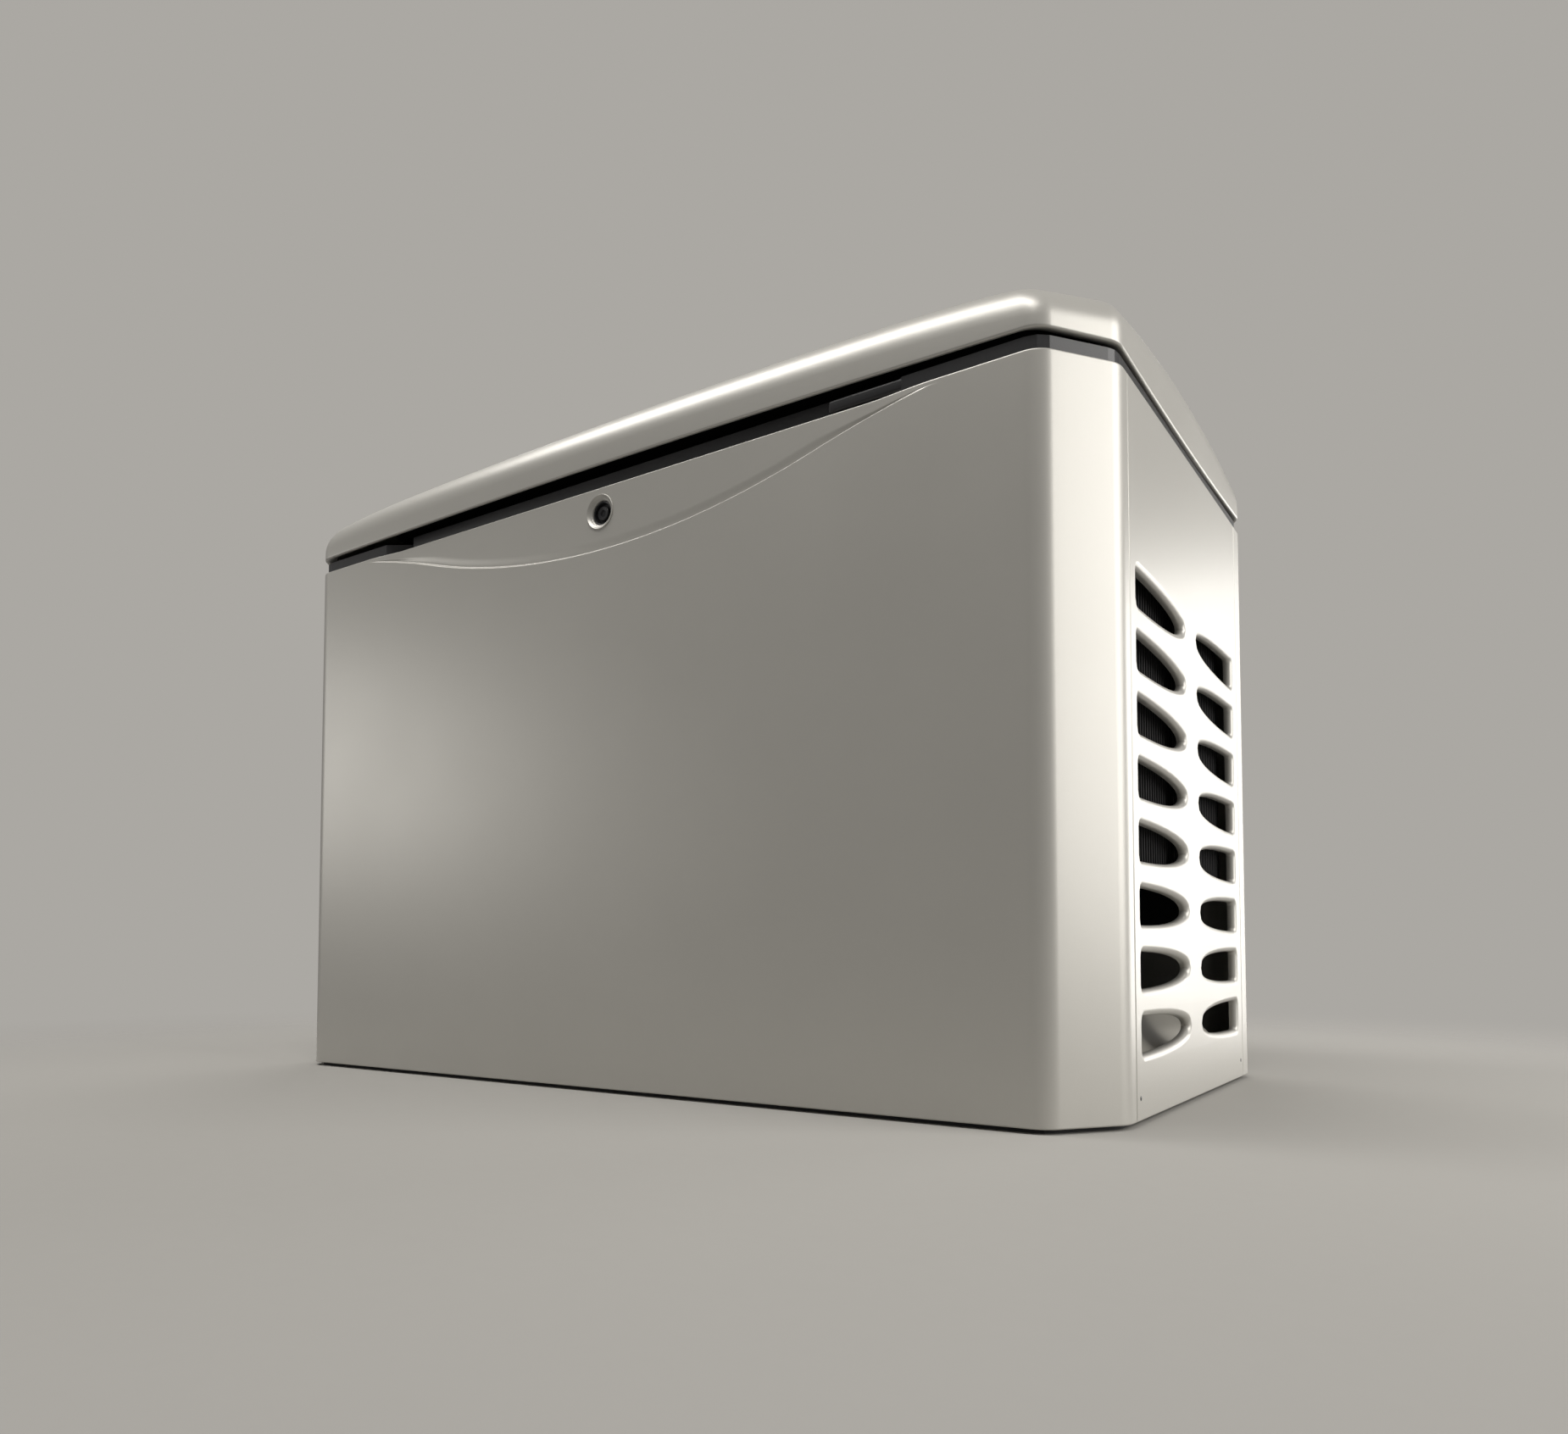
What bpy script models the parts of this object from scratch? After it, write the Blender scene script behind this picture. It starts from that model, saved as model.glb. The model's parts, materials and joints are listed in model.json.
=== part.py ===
"""Home standby generator: a weatherproof cabinet on a base pad, with its gas engine and alternator.

Metres, +Z up. The origin is under the middle of the cabinet, on the ground. The front faces -Y.
"""

import math

import bmesh
import bpy
from mathutils import Matrix, Vector

# ---- Driving dimensions -------------------------------------------------------------------

LENGTH = 1.216  # along X
DEPTH = 0.666  # along Y
HALF_X = LENGTH / 2
HALF_Y = DEPTH / 2
CORNER_X = 0.054  # the plan corners are cut off: this far along the front
CORNER_Y = 0.072  # and this far along the side
FILLET = 0.031  # radius at both ends of each cut corner
GAP = 0.0003  # between pieces that touch

SHEET = 0.0025  # thickness of the painted panels
RETURN = 0.016  # width of their folded-in edges
PANEL_LOW = 0.0045
PANEL_TOP = 0.7248
FRONT_SEAM = -0.2395  # where the front panel meets the side panels
REAR_SEAM = 0.2264  # where the side panels meet the rear panel
SEAM_GAP = 0.0008

SMILE_LOW = 0.647  # lowest point of the recess in the front panel
SMILE_RADIUS = 1.12
SMILE_HALF = 0.48  # half its width at the panel's top edge
SMILE_DEPTH = 0.005

VENT_ROWS = 8
VENT_TOP = 0.5228  # height of the middle of the top row
VENT_PITCH = 0.0627
VENT_MIDDLE = -0.0085  # the two columns mirror each other about this Y
VENT_NEAR = 0.028  # from there to the rounded tips
VENT_FAR = 0.2085  # and to the flat ends
VENT_HALF = 0.0186  # half the height of a flat end

RIM_TOP = 0.7395
RIM_INSET = 0.0045
RIM_WIDTH = 0.066
RIM_FOOT = 0.708  # its inner edge hangs down to here
GRIP_INSET = 0.038  # how far the rim is set back under the lid's finger grip
GRIP_HALF = 0.41
GRIP_RAMP = 0.05
REAR_RIM_INSET = 0.0145

LID_SHEET = 0.003
LID_ROUND = 0.05
LID_SIDE_TOP = 0.8282
LID_CROWN_X = 0.0114
LID_CROWN_Y = 0.018
LID_END_FALL = 0.014
LIP_CORNER = 0.7437
LIP_ARCH = 0.0076
LIP_SIDE_DROP = 0.0047

HINGE_Y = 0.3275
HINGE_Z = 0.7365
HINGE_ENDS = (-0.40, -0.24, -0.08, 0.08, 0.24, 0.40)  # where its knuckles meet
KNUCKLE = 0.0055  # radius of the barrels
PIN = 0.0025  # and of the pin through them

STRUT_X = 0.472  # each gas strut stands this far from the middle
STRUT_FOOT = Vector((0.125, 0.50))  # (y, z) of its lower pivot
STRUT_HEAD = Vector((0.165, 0.774))  # and of its upper pivot with the lid shut

LOCK_Z = 0.695
FUEL_X = -0.14
FUEL_Z = 0.14
FUEL_HOLE = 0.0165
CONDUIT_X = 0.30
CONDUIT_HOLE = 0.0235

CRANK_Y = 0.03
CRANK_Z = 0.27
DECK = 0.1125  # from the crank's axis to the foot of each cylinder
BANK = math.radians(45)  # each cylinder leans this far from upright
BANKS = ((-1, 0.065), (1, 0.110))  # the side that each cylinder leans to, and its X
MOUNT_X = (-0.27, 0.16)  # the two pairs of rubber engine mounts

BAFFLE_X = 0.452
BAFFLE_OUTLINE = ((-0.288, 0.0505), (0.288, 0.0505), (0.288, 0.706), (-0.288, 0.706))  # (y, z)
AIR_HOLE = 0.128  # radius of the cooling air's way through each baffle
PIPE_RADIUS = 0.015
PIPE_ENDS = {-1: Vector((-0.4695, -0.10, 0.36)), 1: Vector((-0.4695, 0.16, 0.36))}
MUFFLER_LOW = (-0.562, -0.20, 0.235)
MUFFLER_HIGH = (-0.470, 0.24, 0.425)
HOSE_RADIUS = 0.008

BATTERY_LOW = (-0.40, -0.290, 0.0287)
BATTERY_HIGH = (-0.20, -0.140, 0.215)
BOX_LOW = (0.24, -0.292, 0.500)  # the controller's housing
BOX_HIGH = (BAFFLE_X - GAP, -0.150, 0.680)
BUTTON_X = (0.270, 0.300, 0.330)
BUTTON_Z = 0.555
BUTTON_RADIUS = 0.0078
BREAKER_X = 0.395
BREAKER_Z = 0.560

# ---- Materials ------------------------------------------------------------------------------

FINISHES = {
    "cabinet_paint": ((0.62, 0.58, 0.51), 0.42, 0.25),
    "black_plastic": ((0.02, 0.02, 0.022), 0.45, 0.0),
    "dark_foam": ((0.03, 0.03, 0.032), 0.9, 0.0),
    "concrete_pad": ((0.05, 0.05, 0.052), 0.8, 0.0),
    "cast_aluminium": ((0.55, 0.56, 0.57), 0.45, 1.0),
    "black_steel": ((0.03, 0.03, 0.03), 0.5, 0.6),
    "bright_steel": ((0.65, 0.65, 0.66), 0.28, 1.0),
    "stainless_pipe": ((0.46, 0.43, 0.40), 0.4, 1.0),
    "rubber": ((0.025, 0.025, 0.025), 0.8, 0.0),
    "white_filter": ((0.75, 0.75, 0.73), 0.6, 0.0),
    "grey_enamel": ((0.16, 0.17, 0.18), 0.45, 0.2),
    "ceramic": ((0.86, 0.85, 0.82), 0.25, 0.0),
    "copper": ((0.62, 0.32, 0.18), 0.4, 1.0),
}


def finish(name):
    """The material of this name, made the first time that it is asked for."""
    found = bpy.data.materials.get(name)
    if found:
        return found
    colour, roughness, metallic = FINISHES[name]
    made = bpy.data.materials.new(name)
    made.use_nodes = True
    shader = made.node_tree.nodes["Principled BSDF"]
    shader.inputs["Base Color"].default_value = (*colour, 1.0)
    shader.inputs["Roughness"].default_value = roughness
    shader.inputs["Metallic"].default_value = metallic
    return made


# ---- Shape helpers ----------------------------------------------------------------------------


def clear_scene():
    for obj in list(bpy.data.objects):
        bpy.data.objects.remove(obj, do_unlink=True)


def place(name, mesh_data, material, pivot=(0, 0, 0), helper=False):
    """A named object from a bmesh in world metres, with its origin at the pivot."""
    pivot = Vector(pivot)
    bmesh.ops.remove_doubles(mesh_data, verts=mesh_data.verts, dist=1e-6)
    bmesh.ops.recalc_face_normals(mesh_data, faces=mesh_data.faces)
    mesh_data.transform(Matrix.Translation(-pivot))
    mesh = bpy.data.meshes.new(name)
    mesh_data.to_mesh(mesh)
    mesh_data.free()
    mesh.materials.append(finish(material))
    mesh.shade_smooth()
    mesh.set_sharp_from_angle(angle=math.radians(35))
    obj = bpy.data.objects.new(name, mesh)
    obj.location = pivot
    bpy.context.scene.collection.objects.link(obj)
    if helper:
        obj.hide_render = True
        obj.display_type = "WIRE"
    return obj


def combine(obj, mesh_data, operation):
    """A Boolean of the object with a hidden tool made from a bmesh."""
    count = len(obj.modifiers)
    tool = place(f"{obj.name}_tool_{count}", mesh_data, "black_plastic", helper=True)
    modifier = obj.modifiers.new(f"{operation.lower()}_{count}", "BOOLEAN")
    modifier.operation = operation
    modifier.solver = "EXACT"
    modifier.object = tool


def cut(obj, mesh_data):
    combine(obj, mesh_data, "DIFFERENCE")


def join(obj, mesh_data):
    combine(obj, mesh_data, "UNION")


def grid(rows, closed_rows=False, closed_columns=False, caps=False):
    """A bmesh whose faces join neighbouring points of equally long rows."""
    mesh = bmesh.new()
    verts = [[mesh.verts.new(point) for point in row] for row in rows]
    row_count, column_count = len(verts), len(verts[0])
    for i in range(row_count if closed_rows else row_count - 1):
        near, far = verts[i], verts[(i + 1) % row_count]
        for j in range(column_count if closed_columns else column_count - 1):
            k = (j + 1) % column_count
            mesh.faces.new((near[j], near[k], far[k], far[j]))
    if caps:
        mesh.faces.new(verts[0])
        mesh.faces.new(verts[-1])
    return mesh


def block(low, high, bevel=0.0, segments=2):
    """A box between two corners, with all its edges rounded."""
    mesh = bmesh.new()
    low, high = Vector(low), Vector(high)
    bmesh.ops.create_cube(mesh, size=1.0)
    mesh.transform(Matrix.Translation((low + high) / 2) @ Matrix.Diagonal((*(high - low), 1)))
    if bevel:
        bmesh.ops.bevel(
            mesh, geom=mesh.edges[:], offset=bevel, segments=segments, profile=0.5, affect="EDGES"
        )
    return mesh


AXES = {
    "X": Matrix(((0, 0, 1, 0), (1, 0, 0, 0), (0, 1, 0, 0), (0, 0, 0, 1))),
    "Y": Matrix(((0, 1, 0, 0), (0, 0, 1, 0), (1, 0, 0, 0), (0, 0, 0, 1))),
    "Z": Matrix.Identity(4),
}


def turned(profile, centre, axis="Z", steps=24, angle=0.0):
    """A solid turned from (radius, along) points. A profile that starts and ends on the axis is
    solid, and any other is a ring."""
    solid = profile[0][0] == 0 and profile[-1][0] == 0
    inner = profile[1:-1] if solid else profile
    rows = []
    for step in range(steps):
        turn = angle + 2 * math.pi * step / steps
        rows.append([Vector((r * math.cos(turn), r * math.sin(turn), a)) for r, a in inner])
    mesh = grid(rows, closed_rows=True, closed_columns=not solid)
    if solid:
        mesh.verts.ensure_lookup_table()
        for index in (0, len(inner) - 1):
            mesh.faces.new([mesh.verts[row * len(inner) + index] for row in range(steps)])
    mesh.transform(Matrix.Translation(centre) @ AXES[axis])
    return mesh


def rod(radius, low, high, centre, axis="Z", steps=24, angle=0.0):
    return turned([(0, low), (radius, low), (radius, high), (0, high)], centre, axis, steps, angle)


def ring(inner, outer, low, high, centre, axis="Z", steps=24):
    profile = [(inner, low), (outer, low), (outer, high), (inner, high)]
    return turned(profile, centre, axis, steps)


def extruded(outline, direction):
    """A solid from a flat outline of 3-D points, pushed along a direction."""
    direction = Vector(direction)
    rows = [outline, [Vector(point) + direction for point in outline]]
    return grid(rows, closed_columns=True, caps=True)


def add_shape(mesh, outline_points, direction):
    """Adds one more extruded outline to a bmesh that holds several."""
    source = extruded(outline_points, direction)
    shape = bpy.data.meshes.new("shape")
    source.to_mesh(shape)
    source.free()
    mesh.from_mesh(shape)
    bpy.data.meshes.remove(shape)


def smooth_route(points, per_span):
    """Points on a Catmull-Rom curve through the route's own points."""
    points = [Vector(point) for point in points]
    ends = [2 * points[0] - points[1], *points, 2 * points[-1] - points[-2]]
    route = []
    for a, b, c, d in zip(ends, ends[1:], ends[2:], ends[3:]):
        for step in range(per_span):
            t = step / per_span
            near = 2 * b + (c - a) * t
            far = (2 * a - 5 * b + 4 * c - d) * t**2 + (3 * b - 3 * c + d - a) * t**3
            route.append((near + far) / 2)
    return [*route, points[-1]]


def pipe(points, radius, per_span=4, steps=10):
    """A solid round bar along a smooth route, with flat ends."""
    route = smooth_route(points, per_span)
    rows = []
    side = None
    for index, point in enumerate(route):
        ahead = route[min(index + 1, len(route) - 1)] - route[max(index - 1, 0)]
        ahead.normalize()
        start = side or ahead.orthogonal()
        side = (start - ahead * start.dot(ahead)).normalized()
        other = ahead.cross(side)
        turns = (2 * math.pi * step / steps for step in range(steps))
        rows.append([point + radius * (side * math.cos(t) + other * math.sin(t)) for t in turns])
    return grid(rows, closed_columns=True, caps=True)


def cable(name, points, radius, material, per_span=3, resolution=2):
    """A cable held inside the cabinet: a beaded curve with closed ends."""
    curve = bpy.data.curves.new(name, "CURVE")
    curve.dimensions = "3D"
    curve.bevel_depth = radius
    curve.bevel_resolution = resolution
    curve.use_fill_caps = True
    route = smooth_route(points, per_span)
    spline = curve.splines.new("POLY")
    spline.points.add(len(route) - 1)
    for point, place_on_route in zip(spline.points, route):
        point.co = (*place_on_route, 1.0)
    curve.materials.append(finish(material))
    obj = bpy.data.objects.new(name, curve)
    bpy.context.scene.collection.objects.link(obj)
    return obj


# ---- Cabinet outline ----------------------------------------------------------------------------


def outline_corners(inset):
    """The eight corners of the cabinet's plan, each side moved inwards by the inset."""
    slope = math.atan2(CORNER_Y, CORNER_X)
    corner_reach = (HALF_X * CORNER_Y + HALF_Y * CORNER_X - CORNER_X * CORNER_Y) / math.hypot(
        CORNER_X, CORNER_Y
    )
    side = HALF_X - inset
    end = HALF_Y - inset
    reach = corner_reach - inset
    across = (reach - end * math.cos(slope)) / math.sin(slope)
    along = (reach - side * math.sin(slope)) / math.cos(slope)
    quarter = [(side, -along), (across, -end)]
    left = [(-x, y) for x, y in reversed(quarter)]
    rear = [(-x, -y) for x, y in quarter + left]
    return quarter + left + rear


def outline(inset, arc_steps=2):
    """Plan points clockwise from the right side's front corner, as (x, y) pairs."""
    corners = [Vector(corner) for corner in outline_corners(inset)]
    radius = FILLET - inset if inset < FILLET - 0.004 else 0.004
    points = []
    for index, corner in enumerate(corners):
        before = (corners[index - 1] - corner).normalized()
        after = (corners[(index + 1) % len(corners)] - corner).normalized()
        half = before.angle(after) / 2
        centre = corner + (before + after).normalized() * radius / math.sin(half)
        start = corner + before * radius / math.tan(half) - centre
        turn = start.angle_signed(corner + after * radius / math.tan(half) - centre)
        for step in range(arc_steps + 1):
            points.append(centre + Matrix.Rotation(-turn * step / arc_steps, 2) @ start)
    return points


def spread(points, count):
    """Points with each long straight run cut into equal parts."""
    found = []
    for index, point in enumerate(points):
        following = points[(index + 1) % len(points)]
        run = (following - point).length
        parts = max(1, round(run * count / LENGTH))
        found += [point.lerp(following, part / parts) for part in range(parts)]
    return found


def wall_path(inset, low_seam, columns):
    """The plan path of the front panel, from its right seam round to its left seam."""
    points = outline(inset)
    half = len(points) // 2
    right, left = points[: half // 2], points[half // 2 : half]
    start, end = right[-1], left[0]
    middle = [start.lerp(end, (x + start.x) / (2 * start.x)) for x in columns]
    seam = [Vector((HALF_X - inset, low_seam))]
    return seam + right + middle + left + [Vector((-seam[0].x, low_seam))]


# ---- Cabinet panels -------------------------------------------------------------------------------


def smile_height(x):
    """Height of the recess's lower edge: an arc that eases into the panel's top edge."""
    arc = SMILE_LOW + SMILE_RADIUS - math.sqrt(SMILE_RADIUS**2 - min(abs(x), 0.42) ** 2)
    blend = min(max((abs(x) - 0.34) / (SMILE_HALF - 0.34), 0.0), 1.0)
    blend = blend * blend * (3 - 2 * blend)
    return arc + (PANEL_TOP - 0.006 - arc) * blend


def front_inset(x, y, z):
    """How deep the recess is at a point of the front panel."""
    if abs(x) >= SMILE_HALF or y > -HALF_Y + 0.02:
        return 0.0
    lowest = smile_height(x)
    fade = min(max((PANEL_TOP - 0.004 - lowest) / 0.03, 0.0), 1.0)
    rise = min(max((z - lowest) / 0.008, 0.0), 1.0)
    return SMILE_DEPTH * fade * rise


def panel_sections(levels):
    """A folded sheet's cross-section as (inset, z): down the inside of it and up its face."""
    low, top, fold = levels[0], levels[-1], 0.0015
    face = [(0.0, level) for level in levels[1:-1]]
    back = [(SHEET, level) for level in reversed(levels[1:-1])]
    bottom = [(RETURN, low + SHEET), (RETURN, low), (fold, low)]
    return bottom + face + [(fold, top), (RETURN, top), (RETURN, top - SHEET)] + back


def front_wall(seam, recessed):
    """The front panel's sheet, or the rear panel's with no recess."""
    columns = [-0.465, -0.43, -0.39, -0.33, -0.24, -0.15, -0.05]
    columns = columns + [-x for x in reversed(columns)] if recessed else [0.0]
    rows = []
    levels = [PANEL_LOW, PANEL_LOW + 0.0015, 0.32, 0.60, 0.62, PANEL_TOP - 0.0015, PANEL_TOP]
    paths = {i: wall_path(i, seam, columns) for i in (0.0, 0.0015, SHEET, RETURN)}
    for index, plan in enumerate(paths[0.0]):
        here = list(levels)
        if recessed:
            lowest = smile_height(plan.x)
            here[3] = lowest
            here[4] = min(lowest + 0.008, (lowest + PANEL_TOP) / 2)
        row = []
        for inset, z in panel_sections(here):
            point = paths[inset][index]
            depth = front_inset(plan.x, plan.y, z) if recessed else 0.0
            row.append(Vector((point.x, point.y + depth, z)))
        rows.append(row)
    return grid(rows, closed_columns=True, caps=True)


def front_panel():
    panel = place("front_panel", front_wall(FRONT_SEAM - SEAM_GAP / 2, True), "cabinet_paint")
    cut(panel, rod(0.0172, -0.36, -0.30, (0, 0, LOCK_Z), "Y", 16, 0.1))


def rear_panel():
    mesh = front_wall(-(REAR_SEAM + SEAM_GAP / 2), False)
    mesh.transform(Matrix.Rotation(math.pi, 4, "Z"))
    panel = place("rear_panel", mesh, "cabinet_paint")
    cut(panel, rod(FUEL_HOLE, 0.31, 0.35, (FUEL_X, 0, FUEL_Z), "Y", 16))
    cut(panel, rod(CONDUIT_HOLE, 0.31, 0.35, (CONDUIT_X, 0, FUEL_Z), "Y", 16))


def vent_outline(row, side, arc_steps=6):
    """One leaf-shaped vent: flat with cut corners at its outer end, half an ellipse at its inner."""
    middle = Vector((VENT_MIDDLE, VENT_TOP - VENT_PITCH * row))
    reach, half, corner = VENT_FAR - VENT_NEAR, VENT_HALF, 0.004
    points = [(0, -half + corner), (0, half - corner)]
    for step in range(arc_steps + 1):
        turn = math.pi / 2 - math.pi * step / arc_steps
        points.append((max(reach * math.cos(turn), corner), half * math.sin(turn)))
    return [middle + Vector((side * (VENT_FAR - a), z)) for a, z in points]


def side_panel(name, side):
    levels = [PANEL_LOW, PANEL_LOW + 0.0015, PANEL_TOP - 0.0015, PANEL_TOP]
    ends = (FRONT_SEAM + SEAM_GAP / 2, REAR_SEAM - SEAM_GAP / 2)
    section = panel_sections(levels)
    rows = [[Vector((side * (HALF_X - inset), y, z)) for inset, z in section] for y in ends]
    panel = place(name, grid(rows, closed_columns=True, caps=True), "cabinet_paint")
    tools = bmesh.new()
    for row in range(VENT_ROWS):
        for column in (-1, 1):
            flat = vent_outline(row, column)
            add_shape(tools, [(side * (HALF_X + 0.01), y, z) for y, z in flat], (-side * 0.02, 0, 0))
    cut(panel, tools)


# ---- Base, rim and lid ----------------------------------------------------------------------------


def flat_ring(outer_inset, inner_inset, low, high):
    outer, inner = outline(outer_inset), outline(inner_inset)
    rows = []
    for a, b in zip(outer, inner):
        rows.append([(*a, low), (*a, high), (*b, high), (*b, low)])
    return grid(rows, closed_rows=True, closed_columns=True)


def slab(inset, low, high):
    return extruded([(*point, low) for point in outline(inset)], (0, 0, high - low))


def base():
    place("mounting_pad", slab(0.010, 0.0, PANEL_LOW - GAP), "concrete_pad")
    pan = place("base_pan", slab(SHEET + GAP, PANEL_LOW + SHEET + GAP, 0.050), "cabinet_paint")
    # The pan is a tray: a low wall all round, and two rails for the engine's rubber mounts.
    join(pan, slab(RETURN + GAP, PANEL_LOW, 0.020))
    inner = [(*point, 0.028) for point in outline(0.034)]
    cut(pan, extruded(inner, (0, 0, 0.05)))
    for x in MOUNT_X:
        join(pan, block((x - 0.04, -0.134, 0.026), (x + 0.04, 0.22, 0.062), 0.004, 1))


def rim_inset(x, y):
    """The rim's front is set back under the finger grip, and its rear behind the hinge."""
    if y < 0:
        ramp = min(max((GRIP_HALF - abs(x)) / GRIP_RAMP, 0.0), 1.0)
        return RIM_INSET + (GRIP_INSET - RIM_INSET) * ramp
    return REAR_RIM_INSET if abs(x) < 0.50 else RIM_INSET


def top_rim():
    plan = outline(RIM_INSET)
    inner = outline(RIM_WIDTH)
    hanging = outline(RIM_WIDTH - 0.008)
    rows = []
    count = len(plan)
    for index in range(count):
        rows.append((plan[index], hanging[index], inner[index]))
        long_front = index == count // 4 - 1
        long_rear = index == 3 * count // 4 - 1
        if long_front or long_rear:
            ends = [GRIP_HALF, GRIP_HALF - GRIP_RAMP] if long_front else [0.505, 0.495]
            stops = [x for x in ends] + [-x for x in reversed(ends)]
            stops = stops if long_front else [-x for x in stops]
            for x in stops:
                trio = [Vector((x, line[index].y)) for line in (plan, hanging, inner)]
                rows.append(tuple(trio))
    sections = []
    low = PANEL_TOP + GAP
    for outer, hang, inside in rows:
        moved = Vector(outer)
        if abs(abs(outer.y) - (HALF_Y - RIM_INSET)) < 0.001:
            moved.y -= math.copysign(rim_inset(outer.x, outer.y) - RIM_INSET, outer.y)
        section = [(*moved, low), (*moved, RIM_TOP), (*inside, RIM_TOP)]
        section += [(*inside, RIM_FOOT), (*hang, RIM_FOOT), (*hang, low)]
        sections.append(section)
    mesh = grid(sections, closed_rows=True, closed_columns=True)
    place("top_rim", mesh, "black_plastic")


def lid_top(x, y):
    """Height of the crowned roof, before its edges are rounded off."""
    u, v = x / HALF_X, y / HALF_Y
    return LID_SIDE_TOP + LID_CROWN_X * (1 - u**2) - (LID_CROWN_Y + LID_END_FALL * u**8) * v**2


def lid_lip(x, y):
    """Height of the roof's lower edge, which arches over the front and dips at the sides."""
    if abs(y) > HALF_Y - CORNER_Y:
        return LIP_CORNER + LIP_ARCH * (1 - (x / HALF_X) ** 2)
    return LIP_CORNER - LIP_SIDE_DROP * (1 - (y / (HALF_Y - CORNER_Y)) ** 2)


def lid_rings(sheet):
    """Rings of points from the lip up to the crown, for the outside or, with a sheet, the inside."""
    edge = spread(outline(0.0, 2), 6)
    angles = [0.0, 0.0, math.radians(28), math.radians(55), math.pi / 2]
    rings = []
    radius = LID_ROUND - sheet
    for index, turn in enumerate(angles):
        inset = sheet + radius * (1 - math.cos(turn))
        ring_plan = spread_like(edge, inset)
        row = []
        for base_point, point in zip(edge, ring_plan):
            top = lid_top(base_point.x, base_point.y) - sheet
            z = top - radius * (1 - math.sin(turn))
            if index == 0:
                z = lid_lip(base_point.x, base_point.y)
            row.append(Vector((point.x, point.y, z)))
        rings.append(row)
    for scale in (0.66, 0.33):
        flat = spread_like(edge, LID_ROUND)
        row = [point * scale for point in flat]
        rings.append([Vector((p.x, p.y, lid_top(p.x, p.y) - sheet)) for p in row])
    return rings


def spread_like(edge, inset):
    """The outline's points moved inwards, in step with an outline already cut into parts."""
    moved = []
    for point in edge:
        scale_x = (HALF_X - inset) / HALF_X
        scale_y = (HALF_Y - inset) / HALF_Y
        moved.append(Vector((point.x * scale_x, point.y * scale_y)))
    return moved


def lid():
    mesh = bmesh.new()
    skins = []
    for sheet in (0.0, LID_SHEET):
        rings = [[mesh.verts.new(point) for point in row] for row in lid_rings(sheet)]
        for near, far in zip(rings, rings[1:]):
            for index in range(len(near)):
                k = (index + 1) % len(near)
                mesh.faces.new((near[index], near[k], far[k], far[index]))
        crown = mesh.verts.new((0, 0, lid_top(0, 0) - sheet))
        for index in range(len(rings[-1])):
            mesh.faces.new((rings[-1][index], rings[-1][(index + 1) % len(rings[-1])], crown))
        skins.append(rings[0])
    for index in range(len(skins[0])):
        k = (index + 1) % len(skins[0])
        mesh.faces.new((skins[0][index], skins[0][k], skins[1][k], skins[1][index]))
    roof = place("lid", mesh, "cabinet_paint", pivot=(0, HINGE_Y, HINGE_Z))
    # A bracket hangs beside the head of each gas strut.
    for side in (-1, 1):
        near, far = sorted((side * (STRUT_X + 0.006), side * (STRUT_X + 0.009)))
        low = (near, STRUT_HEAD.x - 0.010, STRUT_HEAD.y - 0.010)
        join(roof, block(low, (far, STRUT_HEAD.x + 0.010, lid_top(near, STRUT_HEAD.x) - 0.0012)))


def knuckles(obj, spans, low, high):
    """Barrels round the hinge pin, each tied to its leaf by a web between low and high (y, z)."""
    for start, end in spans:
        start, end = start + 0.0004, end - 0.0004
        join(obj, block((start, *low), (end, *high)))
        join(obj, rod(KNUCKLE, start, end, (0, HINGE_Y, HINGE_Z), "X", 14))


def hinge():
    spans = list(zip(HINGE_ENDS, HINGE_ENDS[1:]))
    rim_face = HALF_Y - REAR_RIM_INSET + GAP
    leaf = block((HINGE_ENDS[0], rim_face, 0.7255), (HINGE_ENDS[-1], rim_face + 0.002, 0.7393))
    fixed = place("hinge_base_leaf", leaf, "black_steel")
    knuckles(fixed, spans[::2], (rim_face + 0.001, HINGE_Z - 0.002), (HINGE_Y, HINGE_Z + 0.002))
    back = HALF_Y - LID_SHEET - GAP
    leaf = block((HINGE_ENDS[0], back - 0.0024, 0.7452), (HINGE_ENDS[-1], back, 0.764))
    moving = place("hinge_lid_leaf", leaf, "black_steel", pivot=(0, HINGE_Y, HINGE_Z))
    knuckles(moving, spans[1::2], (back - 0.0024, HINGE_Z), (back, 0.746))
    ends = (HINGE_ENDS[0] - 0.002, HINGE_ENDS[-1] + 0.002)
    for obj in (fixed, moving):
        cut(obj, rod(PIN + 0.0004, -0.41, 0.41, (0, HINGE_Y, HINGE_Z), "X", 14))
    place("hinge_pin", rod(PIN, *ends, (0, HINGE_Y, HINGE_Z), "X", 14), "bright_steel")


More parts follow.
